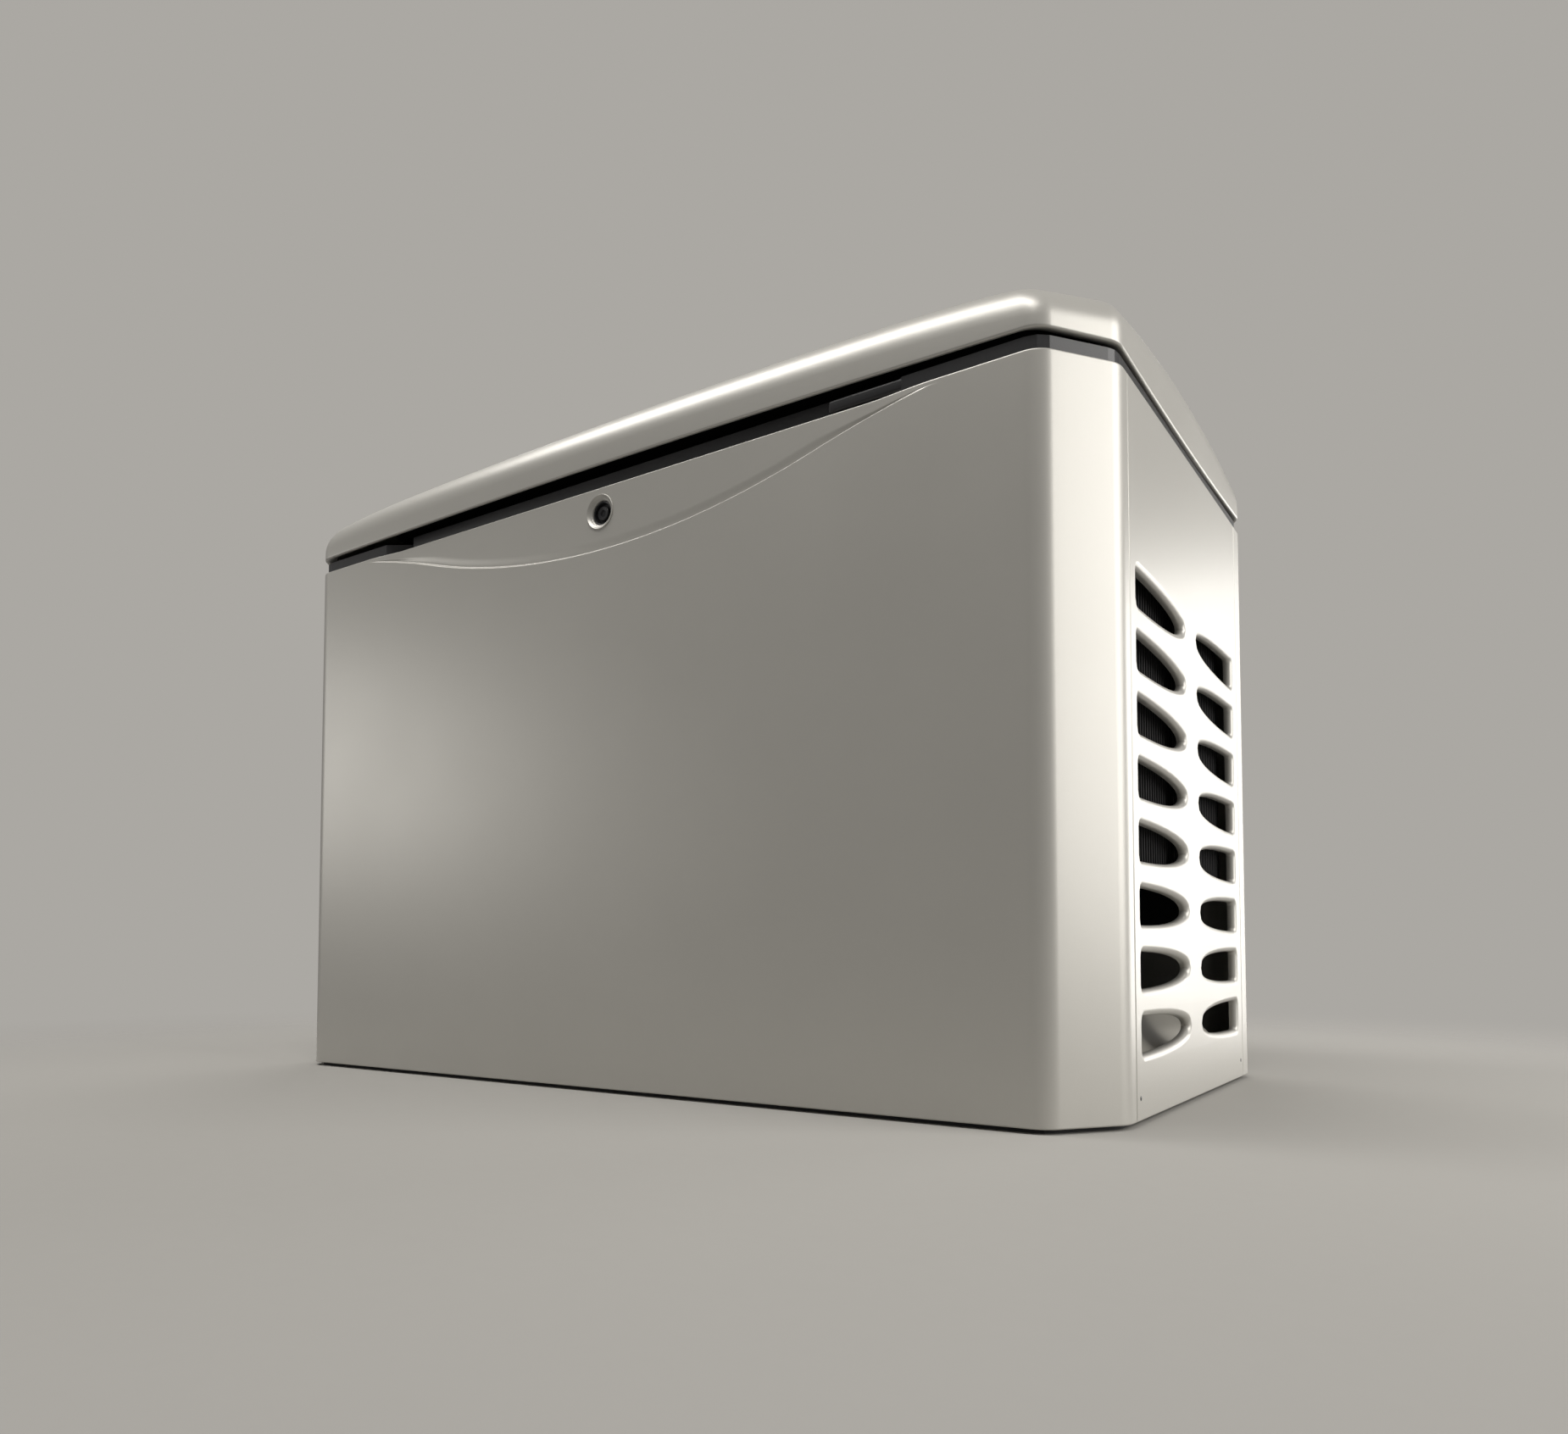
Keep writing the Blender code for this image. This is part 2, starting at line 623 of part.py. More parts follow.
def struts():
    """A gas strut at each end: a cylinder on the baffle, and its rod on the lid."""
    run = STRUT_HEAD - STRUT_FOOT
    lean = -math.atan2(run.x, run.y)
    for name, side in (("left", -1), ("right", 1)):
        pivot = Vector((side * STRUT_X, *STRUT_FOOT))
        aim = Matrix.Translation(pivot) @ Matrix.Rotation(lean, 4, "X")
        body = ring(0.0045, 0.0085, 0.014, run.length - 0.028, (0, 0, 0), "Z", 14)
        body.transform(aim)
        cylinder = place(f"strut_cylinder_{name}", body, "black_steel", pivot=pivot)
        foot = rod(0.0085, 0.004, 0.016, (0, 0, 0), "Z", 14)
        foot.transform(aim)
        join(cylinder, foot)
        eye = ring(0.0035, 0.0085, -0.005, 0.005, (0, 0, 0), "X", 14)
        eye.transform(Matrix.Translation(pivot))
        join(cylinder, eye)
        shaft = rod(0.0040, 0.0185, run.length - 0.004, (0, 0, 0), "Z", 12)
        shaft.transform(aim)
        head = pivot + Vector((0, run.x, run.y))
        piston_rod = place(f"strut_rod_{name}", shaft, "bright_steel", pivot=pivot)
        eye = ring(0.0035, 0.0075, -0.004, 0.004, (0, 0, 0), "X", 14)
        eye.transform(Matrix.Translation(head))
        join(piston_rod, eye)


def lock():
    """A dished bezel in the panel's recess, with a keyed plug that turns a cam behind the sheet."""
    face = -HALF_Y + SMILE_DEPTH
    centre = (0, face, LOCK_Z)
    profile = [(0.0153, 0.0122), (0.0168, 0.0122), (0.0168, -GAP)]
    profile += [(0.0205, -GAP), (0.0208, -0.0016), (0.0188, -0.0030), (0.0165, -0.0022)]
    profile += [(0.0153, 0.0012)]
    place("lock_bezel", turned(profile, centre, "Y", 24), "cabinet_paint")
    plug = place("lock_plug", rod(0.0149, 0.0004, 0.0128, centre, "Y", 20), "black_plastic", centre)
    slot = [
        (x, face - 0.002, LOCK_Z + z)
        for x, z in ((-0.0014, -0.0105), (0.0014, -0.0105), (0.0014, 0.0045), (-0.0014, 0.0045))
    ]
    cut(plug, extruded(slot, (0, 0.008, 0)))
    join(plug, rod(0.006, 0.0120, 0.0185, centre, "Y", 12))
    arm = block((-0.009, face + 0.0188, LOCK_Z - 0.010), (0.036, face + 0.0218, LOCK_Z + 0.010), 0.001, 1)
    place("lock_cam", arm, "bright_steel", centre)


def baffles():
    """The upright dividers at both ends of the engine bay, with a round air opening in each."""
    for name, side in (("intake_baffle", 1), ("exhaust_baffle", -1)):
        flat = [(side * BAFFLE_X, y, z) for y, z in BAFFLE_OUTLINE]
        wall = place(name, extruded(flat, (side * 0.003, 0, 0)), "dark_foam")
        hole = rod(AIR_HOLE, side * BAFFLE_X - 0.01, side * BAFFLE_X + 0.02, (0, CRANK_Y, CRANK_Z), "X", 24)
        cut(wall, hole)
        stud = Vector((0, *STRUT_FOOT))
        near, far = sorted((side * (BAFFLE_X + 0.001), side * (STRUT_X + 0.007)))
        join(wall, rod(0.003, near, far, stud, "X", 10))
        if side < 0:
            for end in PIPE_ENDS.values():
                cut(wall, rod(0.020, -0.47, -0.44, (0, end.y, end.z), "X", 12))


# ---- Engine ---------------------------------------------------------------------------------------


def bank_matrix(side, x):
    """The frame of one cylinder: its Z runs out along the bore. Side -1 leans to the front."""
    lean = Matrix.Rotation(-side * BANK, 4, "X")
    return Matrix.Translation((x, CRANK_Y, CRANK_Z)) @ lean


def crankcase():
    low = (-0.02, CRANK_Y - 0.085, 0.112)
    high = (0.20, CRANK_Y + 0.085, CRANK_Z + 0.070)
    case = place("crankcase", block(low, high, 0.014, 1), "cast_aluminium")
    centre = (0, CRANK_Y, CRANK_Z)
    join(case, rod(0.075, -0.034, 0.03, centre, "X", 18))
    for side, x in BANKS:
        spigot = rod(0.056, 0.05, DECK, (0, 0, 0), "Z", 14)
        spigot.transform(bank_matrix(side, x))
        join(case, spigot)
    join(case, block((MOUNT_X[1] - 0.03, -0.13, 0.106), (MOUNT_X[1] + 0.03, 0.19, 0.124), 0.003, 1))
    cut(case, rod(0.068, 0.004, 0.176, centre, "X", 16))
    cut(case, rod(0.0185, -0.1, 0.3, centre, "X", 14))
    for side, x in BANKS:
        bore = rod(0.038, 0.03, 0.12, (0, 0, 0), "Z", 14)
        bore.transform(bank_matrix(side, x))
        cut(case, bore)
    cut(case, rod(0.0125, 0.05, 0.5, (0.17, CRANK_Y - 0.05, 0.2), "Z", 10))


def cylinders():
    for (side, x), name in zip(BANKS, ("front", "rear")):
        aim = bank_matrix(side, x)
        profile = [(0.0385, DECK + GAP), (0.056, DECK + GAP)]
        for fin in range(5):
            start = 0.120 + 0.0148 * fin
            profile += [(0.048, start), (0.062, start), (0.062, start + 0.004), (0.048, start + 0.004)]
        profile += [(0.056, 0.196), (0.0385, 0.196)]
        barrel = turned(profile, (0, 0, 0), "Z", 12)
        barrel.transform(aim)
        place(f"cylinder_{name}", barrel, "cast_aluminium")
        top = block((-0.058, -0.058, 0.1963), (0.058, 0.058, 0.234), 0.006, 1)
        top.transform(aim)
        head = place(f"cylinder_head_{name}", top, "cast_aluminium")
        for fin in range(2):
            groove = ring(0.047, 0.1, 0.206 + 0.012 * fin, 0.212 + 0.012 * fin, (0, 0, 0), "Z", 20)
            groove.transform(aim)
            cut(head, groove)
        plug_hole = rod(0.0075, -0.08, -0.030, (0, 0, 0.2245), "X", 12)
        plug_hole.transform(aim)
        cut(head, plug_hole)
        cover = block((-0.052, -0.046, 0.2343), (0.052, 0.046, 0.266), 0.010, 2)
        cover.transform(aim)
        place(f"valve_cover_{name}", cover, "black_steel")
        plug = turned(
            [(0, -0.033), (0.0068, -0.033), (0.0068, -0.060), (0.011, -0.0605), (0.011, -0.068)]
            + [(0.0065, -0.069), (0.0055, -0.088), (0.0035, -0.089), (0.0035, -0.096), (0, -0.096)],
            (0, 0, 0.2245),
            "X",
            12,
        )
        plug.transform(aim)
        place(f"spark_plug_{name}", plug, "ceramic")


def crank_train():
    """The turning line: crankshaft, flywheel, fan and alternator rotor."""
    centre = (0, CRANK_Y, CRANK_Z)
    profile = [(0, -0.062), (0.0175, -0.062), (0.0175, 0.03), (0.055, 0.03), (0.055, 0.045)]
    profile += [(0.026, 0.045), (0.026, 0.132), (0.055, 0.132), (0.055, 0.147), (0.0175, 0.147)]
    profile += [(0.0175, 0.272), (0, 0.272)]
    place("crankshaft", turned(profile, centre, "X", 20), "bright_steel", centre)
    profile = [(0.0178, 0.216), (0.045, 0.216), (0.045, 0.222), (0.112, 0.222), (0.112, 0.250)]
    profile += [(0.040, 0.250), (0.040, 0.262), (0.0178, 0.262)]
    place("flywheel", turned(profile, centre, "X", 20), "cast_aluminium", centre)
    profile = [(0.042, 0.2506), (0.118, 0.2506), (0.118, 0.2546), (0.050, 0.2546), (0.050, 0.268)]
    profile += [(0.042, 0.268)]
    fan = place("cooling_fan", turned(profile, centre, "X", 18), "black_plastic", centre)
    blades = bmesh.new()
    for index in range(9):
        blade = block((-0.018, -0.0015, 0.049), (0.018, 0.0015, 0.112))
        blade.transform(Matrix.Rotation(math.radians(18), 4, "Z"))
        spin = Matrix.Rotation(2 * math.pi * index / 9, 4, "X")
        blade.transform(Matrix.Translation((0.2715, CRANK_Y, CRANK_Z)) @ spin)
        shape = bpy.data.meshes.new("blade")
        blade.to_mesh(shape)
        blade.free()
        blades.from_mesh(shape)
        bpy.data.meshes.remove(shape)
    join(fan, blades)


def fan_shroud():
    centre = (0, CRANK_Y, CRANK_Z)
    profile = [(0.134, 0.206), (0.138, 0.206), (0.138, 0.352), (0.112, 0.362), (0.112, 0.358)]
    profile += [(0.134, 0.349)]
    place("fan_shroud", turned(profile, centre, "X", 22), "black_plastic")


def alternator():
    centre = (0, CRANK_Y, CRANK_Z)
    profile = [(0.088, -0.320), (0.122, -0.320), (0.128, -0.312), (0.128, -0.044), (0.122, -0.036)]
    profile += [(0.0765, -0.036), (0.0765, -0.060), (0.088, -0.066)]
    stator = place("alternator_stator", turned(profile, centre, "X", 22), "grey_enamel")
    foot = block((MOUNT_X[0] - 0.03, -0.13, 0.106), (MOUNT_X[0] + 0.03, 0.19, 0.124), 0.003, 1)
    join(stator, foot)
    join(stator, block((MOUNT_X[0] - 0.02, -0.05, 0.115), (MOUNT_X[0] + 0.02, 0.11, 0.162)))
    profile = [(0, -0.352), (0.0125, -0.352), (0.0125, -0.300), (0.080, -0.298), (0.080, -0.075)]
    profile += [(0.030, -0.070), (0.0250, -0.0625), (0, -0.0625)]
    place("alternator_rotor", turned(profile, centre, "X", 24), "copper", centre)
    profile = [(0.0128, -0.362), (0.030, -0.362), (0.036, -0.350), (0.118, -0.338), (0.124, -0.3203)]
    profile += [(0.100, -0.3203), (0.094, -0.330), (0.030, -0.338), (0.0128, -0.338)]
    cover = place("alternator_end_cover", turned(profile, centre, "X", 18), "cast_aluminium")
    for index in range(4):
        turn = math.radians(45 + 90 * index)
        spot = (0, CRANK_Y + 0.068 * math.cos(turn), CRANK_Z + 0.068 * math.sin(turn))
        cut(cover, rod(0.020, -0.37, -0.30, spot, "X", 8))


def isolators():
    for end, x in zip(("left", "right"), MOUNT_X):
        for side, y in (("front", -0.105), ("rear", 0.165)):
            profile = [(0, 0.0624), (0.024, 0.0624), (0.024, 0.067), (0.019, 0.084), (0.024, 0.101)]
            profile += [(0.024, 0.1056), (0, 0.1056)]
            name = f"isolator_{end}_{side}"
            place(name, turned(profile, (x, y, 0), "Z", 14), "rubber")


def engine_extras():
    place("oil_filter", oil_filter_shape(), "white_filter")
    cap_place = (0.17, CRANK_Y - 0.05, CRANK_Z + 0.085)
    cap = place("oil_fill_cap", rod(0.011, -0.06, 0.004, cap_place, "Z", 14), "black_plastic", cap_place)
    join(cap, rod(0.019, 0.0006, 0.016, cap_place, "Z", 8))
    motor = rod(0.036, 0.045, 0.150, (0, 0.188, 0.205), "X", 20)
    starter = place("starter_motor", motor, "black_steel")
    join(starter, rod(0.016, 0.09, 0.205, (0, 0.188, 0.150), "X", 14))
    join(starter, block((0.15, 0.155, 0.15), (0.165, 0.2, 0.20)))
    base_low, base_high = (-0.01, -0.075, 0.548), (0.19, 0.135, 0.570)
    filter_base = place("air_cleaner_base", block(base_low, base_high, 0.008), "black_plastic")
    join(filter_base, rod(0.024, 0.5353, 0.555, (0.0875, CRANK_Y, 0), "Z", 16))
    cover = block((-0.014, -0.079, 0.5703), (0.194, 0.139, 0.625), 0.014)
    place("air_cleaner_cover", cover, "black_plastic")
    mixer = place("fuel_mixer", rod(0.026, 0.4918, 0.535, (0.0875, CRANK_Y, 0), "Z", 16), "cast_aluminium")
    join(mixer, block((0.055, 0.002, 0.4918), (0.12, 0.058, 0.501)))
    join(mixer, rod(0.009, 0.040, 0.075, (0.0875, 0, 0.515), "Y", 12))
    hub = block((0.062, 0.008, 0.455), (0.113, 0.052, 0.4915), 0.004, 1)
    manifold = place("intake_manifold", hub, "cast_aluminium")
    for side, x in BANKS:
        aim = bank_matrix(side, x)
        start = aim @ Vector((0, -side * 0.0586, 0.215))
        away = (aim.to_3x3() @ Vector((0, -side, 0))).normalized()
        route = [start, start + away * 0.008, start + away * 0.016]
        route += [(0.0875, CRANK_Y + side * 0.035, 0.478), (0.0875, CRANK_Y, 0.474)]
        join(manifold, pipe(route, 0.014, 2, 10))


def oil_filter_shape():
    profile = [(0, -0.185), (0.034, -0.185), (0.038, -0.180), (0.038, -0.112), (0.030, -0.106)]
    profile += [(0.030, -0.0705), (0, -0.0705)]
    return turned(profile, (0.07, 0, 0.185), "Y", 20)


def exhaust():
    """A pipe from each head to the silencer in the left end of the cabinet."""
    silencer = place("muffler", block(MUFFLER_LOW, MUFFLER_HIGH, 0.036, 3), "stainless_pipe")
    join(silencer, pipe([(-0.53, 0.02, 0.25), (-0.53, 0.02, 0.19), (-0.552, 0.02, 0.15)], 0.020, 3, 12))
    for (side, x), name in zip(BANKS, ("front", "rear")):
        aim = bank_matrix(side, x)
        port = aim @ Vector((0, side * 0.0610, 0.215))
        away = (aim.to_3x3() @ Vector((0, side, 0))).normalized()
        end = PIPE_ENDS[side]
        route = [port, port + away * 0.010, port + away * 0.020 - Vector((0.006, 0, 0))]
        route += [port + Vector((-0.07, side * 0.024, -0.022)), (-0.14, side * 0.185 + CRANK_Y, 0.372)]
        route += [end + Vector((0.10, side * 0.010, 0)), end + Vector((0.05, 0, 0))]
        route += [end + Vector((0.025, 0, 0)), end]
        pipe_run = place(f"exhaust_pipe_{name}", pipe(route, PIPE_RADIUS, 2, 10), "stainless_pipe")
        flange = block((-0.026, 0.0584, 0.200), (0.026, 0.0634, 0.230))
        flange.transform(aim @ Matrix.Diagonal((1, side, 1, 1)))
        join(pipe_run, flange)


def fuel_system():
    inlet = rod(0.0135, 0.262, 0.352, (FUEL_X, 0, FUEL_Z), "Y", 14)
    fitting = place("fuel_inlet", inlet, "bright_steel")
    join(fitting, rod(0.024, 0.3337, 0.345, (FUEL_X, 0, FUEL_Z), "Y", 6))
    low, high = (FUEL_X - 0.045, 0.190, FUEL_Z - 0.045), (FUEL_X + 0.045, 0.2617, FUEL_Z + 0.045)
    regulator = place("fuel_regulator", block(low, high, 0.010), "cast_aluminium")
    join(regulator, rod(0.038, 0.182, 0.2, (FUEL_X, 0, FUEL_Z), "Y", 20))
    join(regulator, rod(0.010, 0.18, 0.2, (FUEL_X, 0.225, 0), "Z", 12))
    route = [(FUEL_X, 0.225, 0.2006), (FUEL_X, 0.225, 0.212), (FUEL_X, 0.223, 0.224)]
    route += [(FUEL_X + 0.01, 0.195, 0.30), (-0.09, 0.175, 0.43), (-0.03, 0.15, 0.510)]
    route += [(0.05, 0.135, 0.520), (0.083, 0.115, 0.515), (0.0875, 0.096, 0.515), (0.0875, 0.0757, 0.515)]
    cable("fuel_hose", route, HOSE_RADIUS, "rubber")
    conduit = ring(0.0165, 0.0225, 0.318, 0.356, (CONDUIT_X, 0, FUEL_Z), "Y", 16)
    hub = place("conduit_hub", conduit, "bright_steel")
    join(hub, ring(0.0165, 0.031, 0.3337, 0.341, (CONDUIT_X, 0, FUEL_Z), "Y", 8))


def electrics():
    battery = place("battery", block(BATTERY_LOW, BATTERY_HIGH, 0.005, 1), "black_plastic")
    for x in (-0.37, -0.23):
        join(battery, rod(0.009, 0.2125, 0.234, (x, -0.17, 0), "Z", 12))
    front = BOX_LOW[1]
    box = place("controller_box", block(BOX_LOW, BOX_HIGH, 0.008), "black_plastic")
    for x in BUTTON_X:
        well = rod(BUTTON_RADIUS + 0.0007, front - 0.01, front + 0.008, (x, 0, BUTTON_Z), "Y", 14)
        cut(box, well)
    low = (BREAKER_X - 0.0105, front - 0.01, BREAKER_Z - 0.0305)
    cut(box, block(low, (BREAKER_X + 0.0105, front + 0.030, BREAKER_Z + 0.0305)))
    window = block((0.262, front - 0.002, 0.590), (0.338, front + 0.004, 0.640), 0.0015, 1)
    join(box, window)
    for x, name in zip(BUTTON_X, ("off", "auto", "run")):
        face = (x, front - 0.0015, BUTTON_Z)
        place(f"button_{name}", rod(BUTTON_RADIUS, 0.0, 0.006, face, "Y", 14), "ceramic", face)
    pivot = (BREAKER_X, front + 0.009, BREAKER_Z)
    low = (BREAKER_X - 0.0095, pivot[1] - 0.006, BREAKER_Z - 0.014)
    high = (BREAKER_X + 0.0095, pivot[1] + 0.008, BREAKER_Z + 0.014)
    toggle = place("breaker_toggle", block(low, high, 0.003, 1), "black_plastic", pivot)
    stick = block((-0.006, -0.024, -0.005), (0.006, 0.0, 0.005), 0.001, 1)
    stick.transform(Matrix.Translation(pivot) @ Matrix.Rotation(math.radians(-20), 4, "X"))
    join(toggle, stick)


def main():
    clear_scene()
    base()
    front_panel()
    rear_panel()
    side_panel("right_side_panel", 1)
    side_panel("left_side_panel", -1)
    top_rim()
    lid()
    hinge()
    struts()
    lock()
    baffles()
    crankcase()
    cylinders()
    crank_train()
    fan_shroud()
    alternator()
    isolators()
    engine_extras()
    exhaust()
    fuel_system()
    electrics()


main()
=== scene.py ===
"""Looks for the home standby generator: fine cabinet skins, materials, small fittings and light."""

import json
import math

import bmesh
import bpy
from mathutils import Matrix, Vector
from mathutils.geometry import tessellate_polygon


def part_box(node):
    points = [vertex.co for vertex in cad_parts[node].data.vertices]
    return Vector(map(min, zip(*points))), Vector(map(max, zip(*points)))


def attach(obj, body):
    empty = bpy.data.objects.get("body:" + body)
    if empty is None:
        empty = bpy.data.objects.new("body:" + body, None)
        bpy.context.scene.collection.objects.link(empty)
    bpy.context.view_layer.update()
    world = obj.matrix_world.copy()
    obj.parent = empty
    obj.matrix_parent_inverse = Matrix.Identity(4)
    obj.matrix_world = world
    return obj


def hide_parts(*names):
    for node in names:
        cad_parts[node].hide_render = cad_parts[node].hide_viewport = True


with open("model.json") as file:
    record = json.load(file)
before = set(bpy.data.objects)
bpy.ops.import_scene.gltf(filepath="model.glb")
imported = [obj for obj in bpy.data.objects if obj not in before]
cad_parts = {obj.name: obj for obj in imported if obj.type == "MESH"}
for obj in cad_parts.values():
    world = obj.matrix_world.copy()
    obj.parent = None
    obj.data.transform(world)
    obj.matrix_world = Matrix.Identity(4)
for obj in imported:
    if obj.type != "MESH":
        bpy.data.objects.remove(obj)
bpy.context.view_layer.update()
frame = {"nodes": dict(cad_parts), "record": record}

nodes = frame["nodes"]

# ---- Sizes, taken from the frame where a node gives them ------------------------------------

FRONT_LOW, FRONT_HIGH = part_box("front_panel")
SIDE_LOW, SIDE_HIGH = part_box("right_side_panel")
_, LID_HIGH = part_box("lid")
HALF_X = LID_HIGH[0]
HALF_Y = LID_HIGH[1]
CORNER_X, CORNER_Y, FILLET = 0.054, 0.072, 0.031
PANEL_LOW, PANEL_TOP = FRONT_LOW[2], FRONT_HIGH[2]
FRONT_SEAM, REAR_SEAM = SIDE_LOW[1], SIDE_HIGH[1]
SMILE_LOW, SMILE_RADIUS, SMILE_DEPTH = 0.647, 1.12, 0.005
SMILE_BEND, SMILE_HALF, SMILE_FLATTEN = 0.31, 0.464, 0.441
LOCK_CENTRE = Vector((0, -0.328, 0.695))
VENT_ROWS, VENT_TOP, VENT_PITCH = 8, 0.5228, 0.0627
VENT_MIDDLE, VENT_NEAR, VENT_FAR, VENT_HALF = -0.0085, 0.028, 0.2085, 0.0186
LIP_ROUND, LIP_DEPTH = 0.0065, 0.0105
LID_ROUND = 0.05
EDGE_ROUND = 0.0018
STRUT_X, STRUT_HEAD_Y, STRUT_HEAD_Z = 0.472, 0.165, 0.774
CRANK_Y, CRANK_Z = 0.03, 0.27

# ---- Materials ------------------------------------------------------------------------------


def shade(name, colour, roughness, metallic=0.0, grain=900.0, bump=0.05, spread=0.04, coat=0.0,
          wear=0.0, streaks=None):
    """A Principled material whose colour, roughness and relief vary with noise at a fine and a
    broad scale. Wear lightens exposed edges, and streaks stretches the grain along one axis."""
    made = bpy.data.materials.new(name)
    made.use_nodes = True
    tree = made.node_tree
    links = tree.links
    shader = tree.nodes["Principled BSDF"]
    shader.inputs["Metallic"].default_value = metallic
    shader.inputs["Coat Weight"].default_value = coat
    shader.inputs["Coat Roughness"].default_value = 0.25
    where = tree.nodes.new("ShaderNodeTexCoord")
    mapping = tree.nodes.new("ShaderNodeMapping")
    mapping.inputs["Scale"].default_value = streaks or (1, 1, 1)
    links.new(where.outputs["Object"], mapping.inputs["Vector"])
    fine = tree.nodes.new("ShaderNodeTexNoise")
    fine.inputs["Scale"].default_value = grain
    fine.inputs["Detail"].default_value = 3
    links.new(mapping.outputs["Vector"], fine.inputs["Vector"])
    broad = tree.nodes.new("ShaderNodeTexNoise")
    broad.inputs["Scale"].default_value = 7
    broad.inputs["Detail"].default_value = 4
    links.new(where.outputs["Object"], broad.inputs["Vector"])
    tint = tree.nodes.new("ShaderNodeMix")
    tint.data_type = "RGBA"
    dark = [c * (1 - spread * 2) for c in colour]
    light = [min(c * (1 + spread), 1.0) for c in colour]
    tint.inputs["A"].default_value = (*dark, 1)
    tint.inputs["B"].default_value = (*light, 1)
    blend = tree.nodes.new("ShaderNodeMath")
    blend.operation = "MULTIPLY_ADD"
    blend.inputs[1].default_value = 0.6
    links.new(fine.outputs["Fac"], blend.inputs[0])
    scaled = tree.nodes.new("ShaderNodeMath")
    scaled.operation = "MULTIPLY"
    scaled.inputs[1].default_value = 0.4
    links.new(broad.outputs["Fac"], scaled.inputs[0])
    links.new(scaled.outputs[0], blend.inputs[2])
    links.new(blend.outputs[0], tint.inputs["Factor"])
    colour_out = tint.outputs["Result"]
    if wear:
        geometry = tree.nodes.new("ShaderNodeNewGeometry")
        edge = tree.nodes.new("ShaderNodeMapRange")
        edge.inputs["From Min"].default_value = 0.53
        edge.inputs["From Max"].default_value = 0.62
        edge.inputs["To Max"].default_value = wear
        links.new(geometry.outputs["Pointiness"], edge.inputs["Value"])
        worn = tree.nodes.new("ShaderNodeMix")
        worn.data_type = "RGBA"
        worn.inputs["B"].default_value = (*[min(c * 1.5 + 0.12, 1) for c in colour], 1)
        links.new(edge.outputs["Result"], worn.inputs["Factor"])
        links.new(colour_out, worn.inputs["A"])
        colour_out = worn.outputs["Result"]
    links.new(colour_out, shader.inputs["Base Color"])
    rough = tree.nodes.new("ShaderNodeMapRange")
    rough.inputs["To Min"].default_value = max(roughness - 0.07, 0.03)
    rough.inputs["To Max"].default_value = min(roughness + 0.09, 1.0)
    links.new(blend.outputs[0], rough.inputs["Value"])
    links.new(rough.outputs["Result"], shader.inputs["Roughness"])
    relief = tree.nodes.new("ShaderNodeBump")
    relief.inputs["Strength"].default_value = bump
    relief.inputs["Distance"].default_value = 0.0004
    links.new(fine.outputs["Fac"], relief.inputs["Height"])
    links.new(relief.outputs["Normal"], shader.inputs["Normal"])
    return made


LOOKS = {
    "cabinet_paint": shade("satin_paint", (0.535, 0.522, 0.485), 0.36, 0.35, 1400, 0.10, 0.035, 0.15),
    "black_plastic": shade("black_plastic", (0.021, 0.021, 0.023), 0.36, 0.0, 700, 0.12, 0.25, wear=0.05),
    "dark_foam": shade("lining", (0.020, 0.020, 0.021), 0.92, 0.0, 160, 0.9, 0.4),
    "pad_composite": shade("pad_composite", (0.03, 0.03, 0.032), 0.75, 0.0, 350, 0.5, 0.3),
    "base_composite": shade("base_composite", (0.52, 0.50, 0.45), 0.48, 0.0, 500, 0.25, 0.06),
    "cast_aluminium": shade("cast_aluminium", (0.50, 0.50, 0.51), 0.48, 0.9, 260, 0.55, 0.18, wear=0.35),
    "black_steel": shade("black_enamel", (0.022, 0.022, 0.023), 0.38, 0.1, 420, 0.15, 0.25, 0.2, wear=0.3),
    "bright_steel": shade(
        "turned_steel", (0.62, 0.62, 0.64), 0.25, 1.0, 300, 0.12, 0.10, streaks=(1, 1, 9)
    ),
    "stainless_pipe": shade("heated_steel", (0.40, 0.34, 0.28), 0.40, 1.0, 45, 0.10, 0.30, wear=0.2),
    "rubber": shade("rubber", (0.018, 0.018, 0.018), 0.72, 0.0, 380, 0.35, 0.3),
    "white_filter": shade("filter_enamel", (0.72, 0.72, 0.70), 0.28, 0.0, 320, 0.08, 0.05, 0.3),
    "grey_enamel": shade("grey_enamel", (0.11, 0.12, 0.13), 0.42, 0.1, 420, 0.2, 0.12, 0.2, wear=0.2),
    "ceramic": shade("ceramic", (0.82, 0.81, 0.78), 0.18, 0.0, 90, 0.03, 0.04, 0.4),
    "button_caps": shade("button_rubber", (0.30, 0.31, 0.33), 0.55, 0.0, 600, 0.2, 0.10),
    "display_mark": shade("display_mark", (0.30, 0.42, 0.40), 0.35, 0.0, 500, 0.05, 0.08),
    # A lighter copy of the black plastic for the strip behind the grip: its extra brightness is painted
    # light in the shaded gap under the roof's overhang.
    "grip_painted_light_plastic": shade("grip_painted_light_plastic", (0.045, 0.045, 0.048), 0.42, 0.0, 700, 0.12, 0.20, wear=0.05),
    "lamp_lens": shade("lamp_lens", (0.16, 0.30, 0.14), 0.18, 0.0, 300, 0.04, 0.10, 0.4),
    "copper_windings": shade(
        "lacquered_copper", (0.50, 0.22, 0.10), 0.32, 0.9, 60, 0.6, 0.30, streaks=(14, 1, 1)
    ),
}
BEVELLED = {
    "top_rim": 0.0012, "crankcase": 0.003, "cylinder_head_front": 0.0015, "cylinder_head_rear": 0.0015,
    "fuel_regulator": 0.0015, "controller_box": 0.001, "muffler": 0.003, "intake_manifold": 0.0015,
    "mounting_pad": 0.002, "base_pan": 0.003, "battery": 0.0015, "fuel_mixer": 0.0012,
    "starter_motor": 0.0015, "oil_fill_cap": 0.0015, "flywheel": 0.0012, "fuel_inlet": 0.001,
    "conduit_hub": 0.001, "hinge_lid_leaf": 0.0004, "hinge_base_leaf": 0.0004, "lock_cam": 0.0004,
}


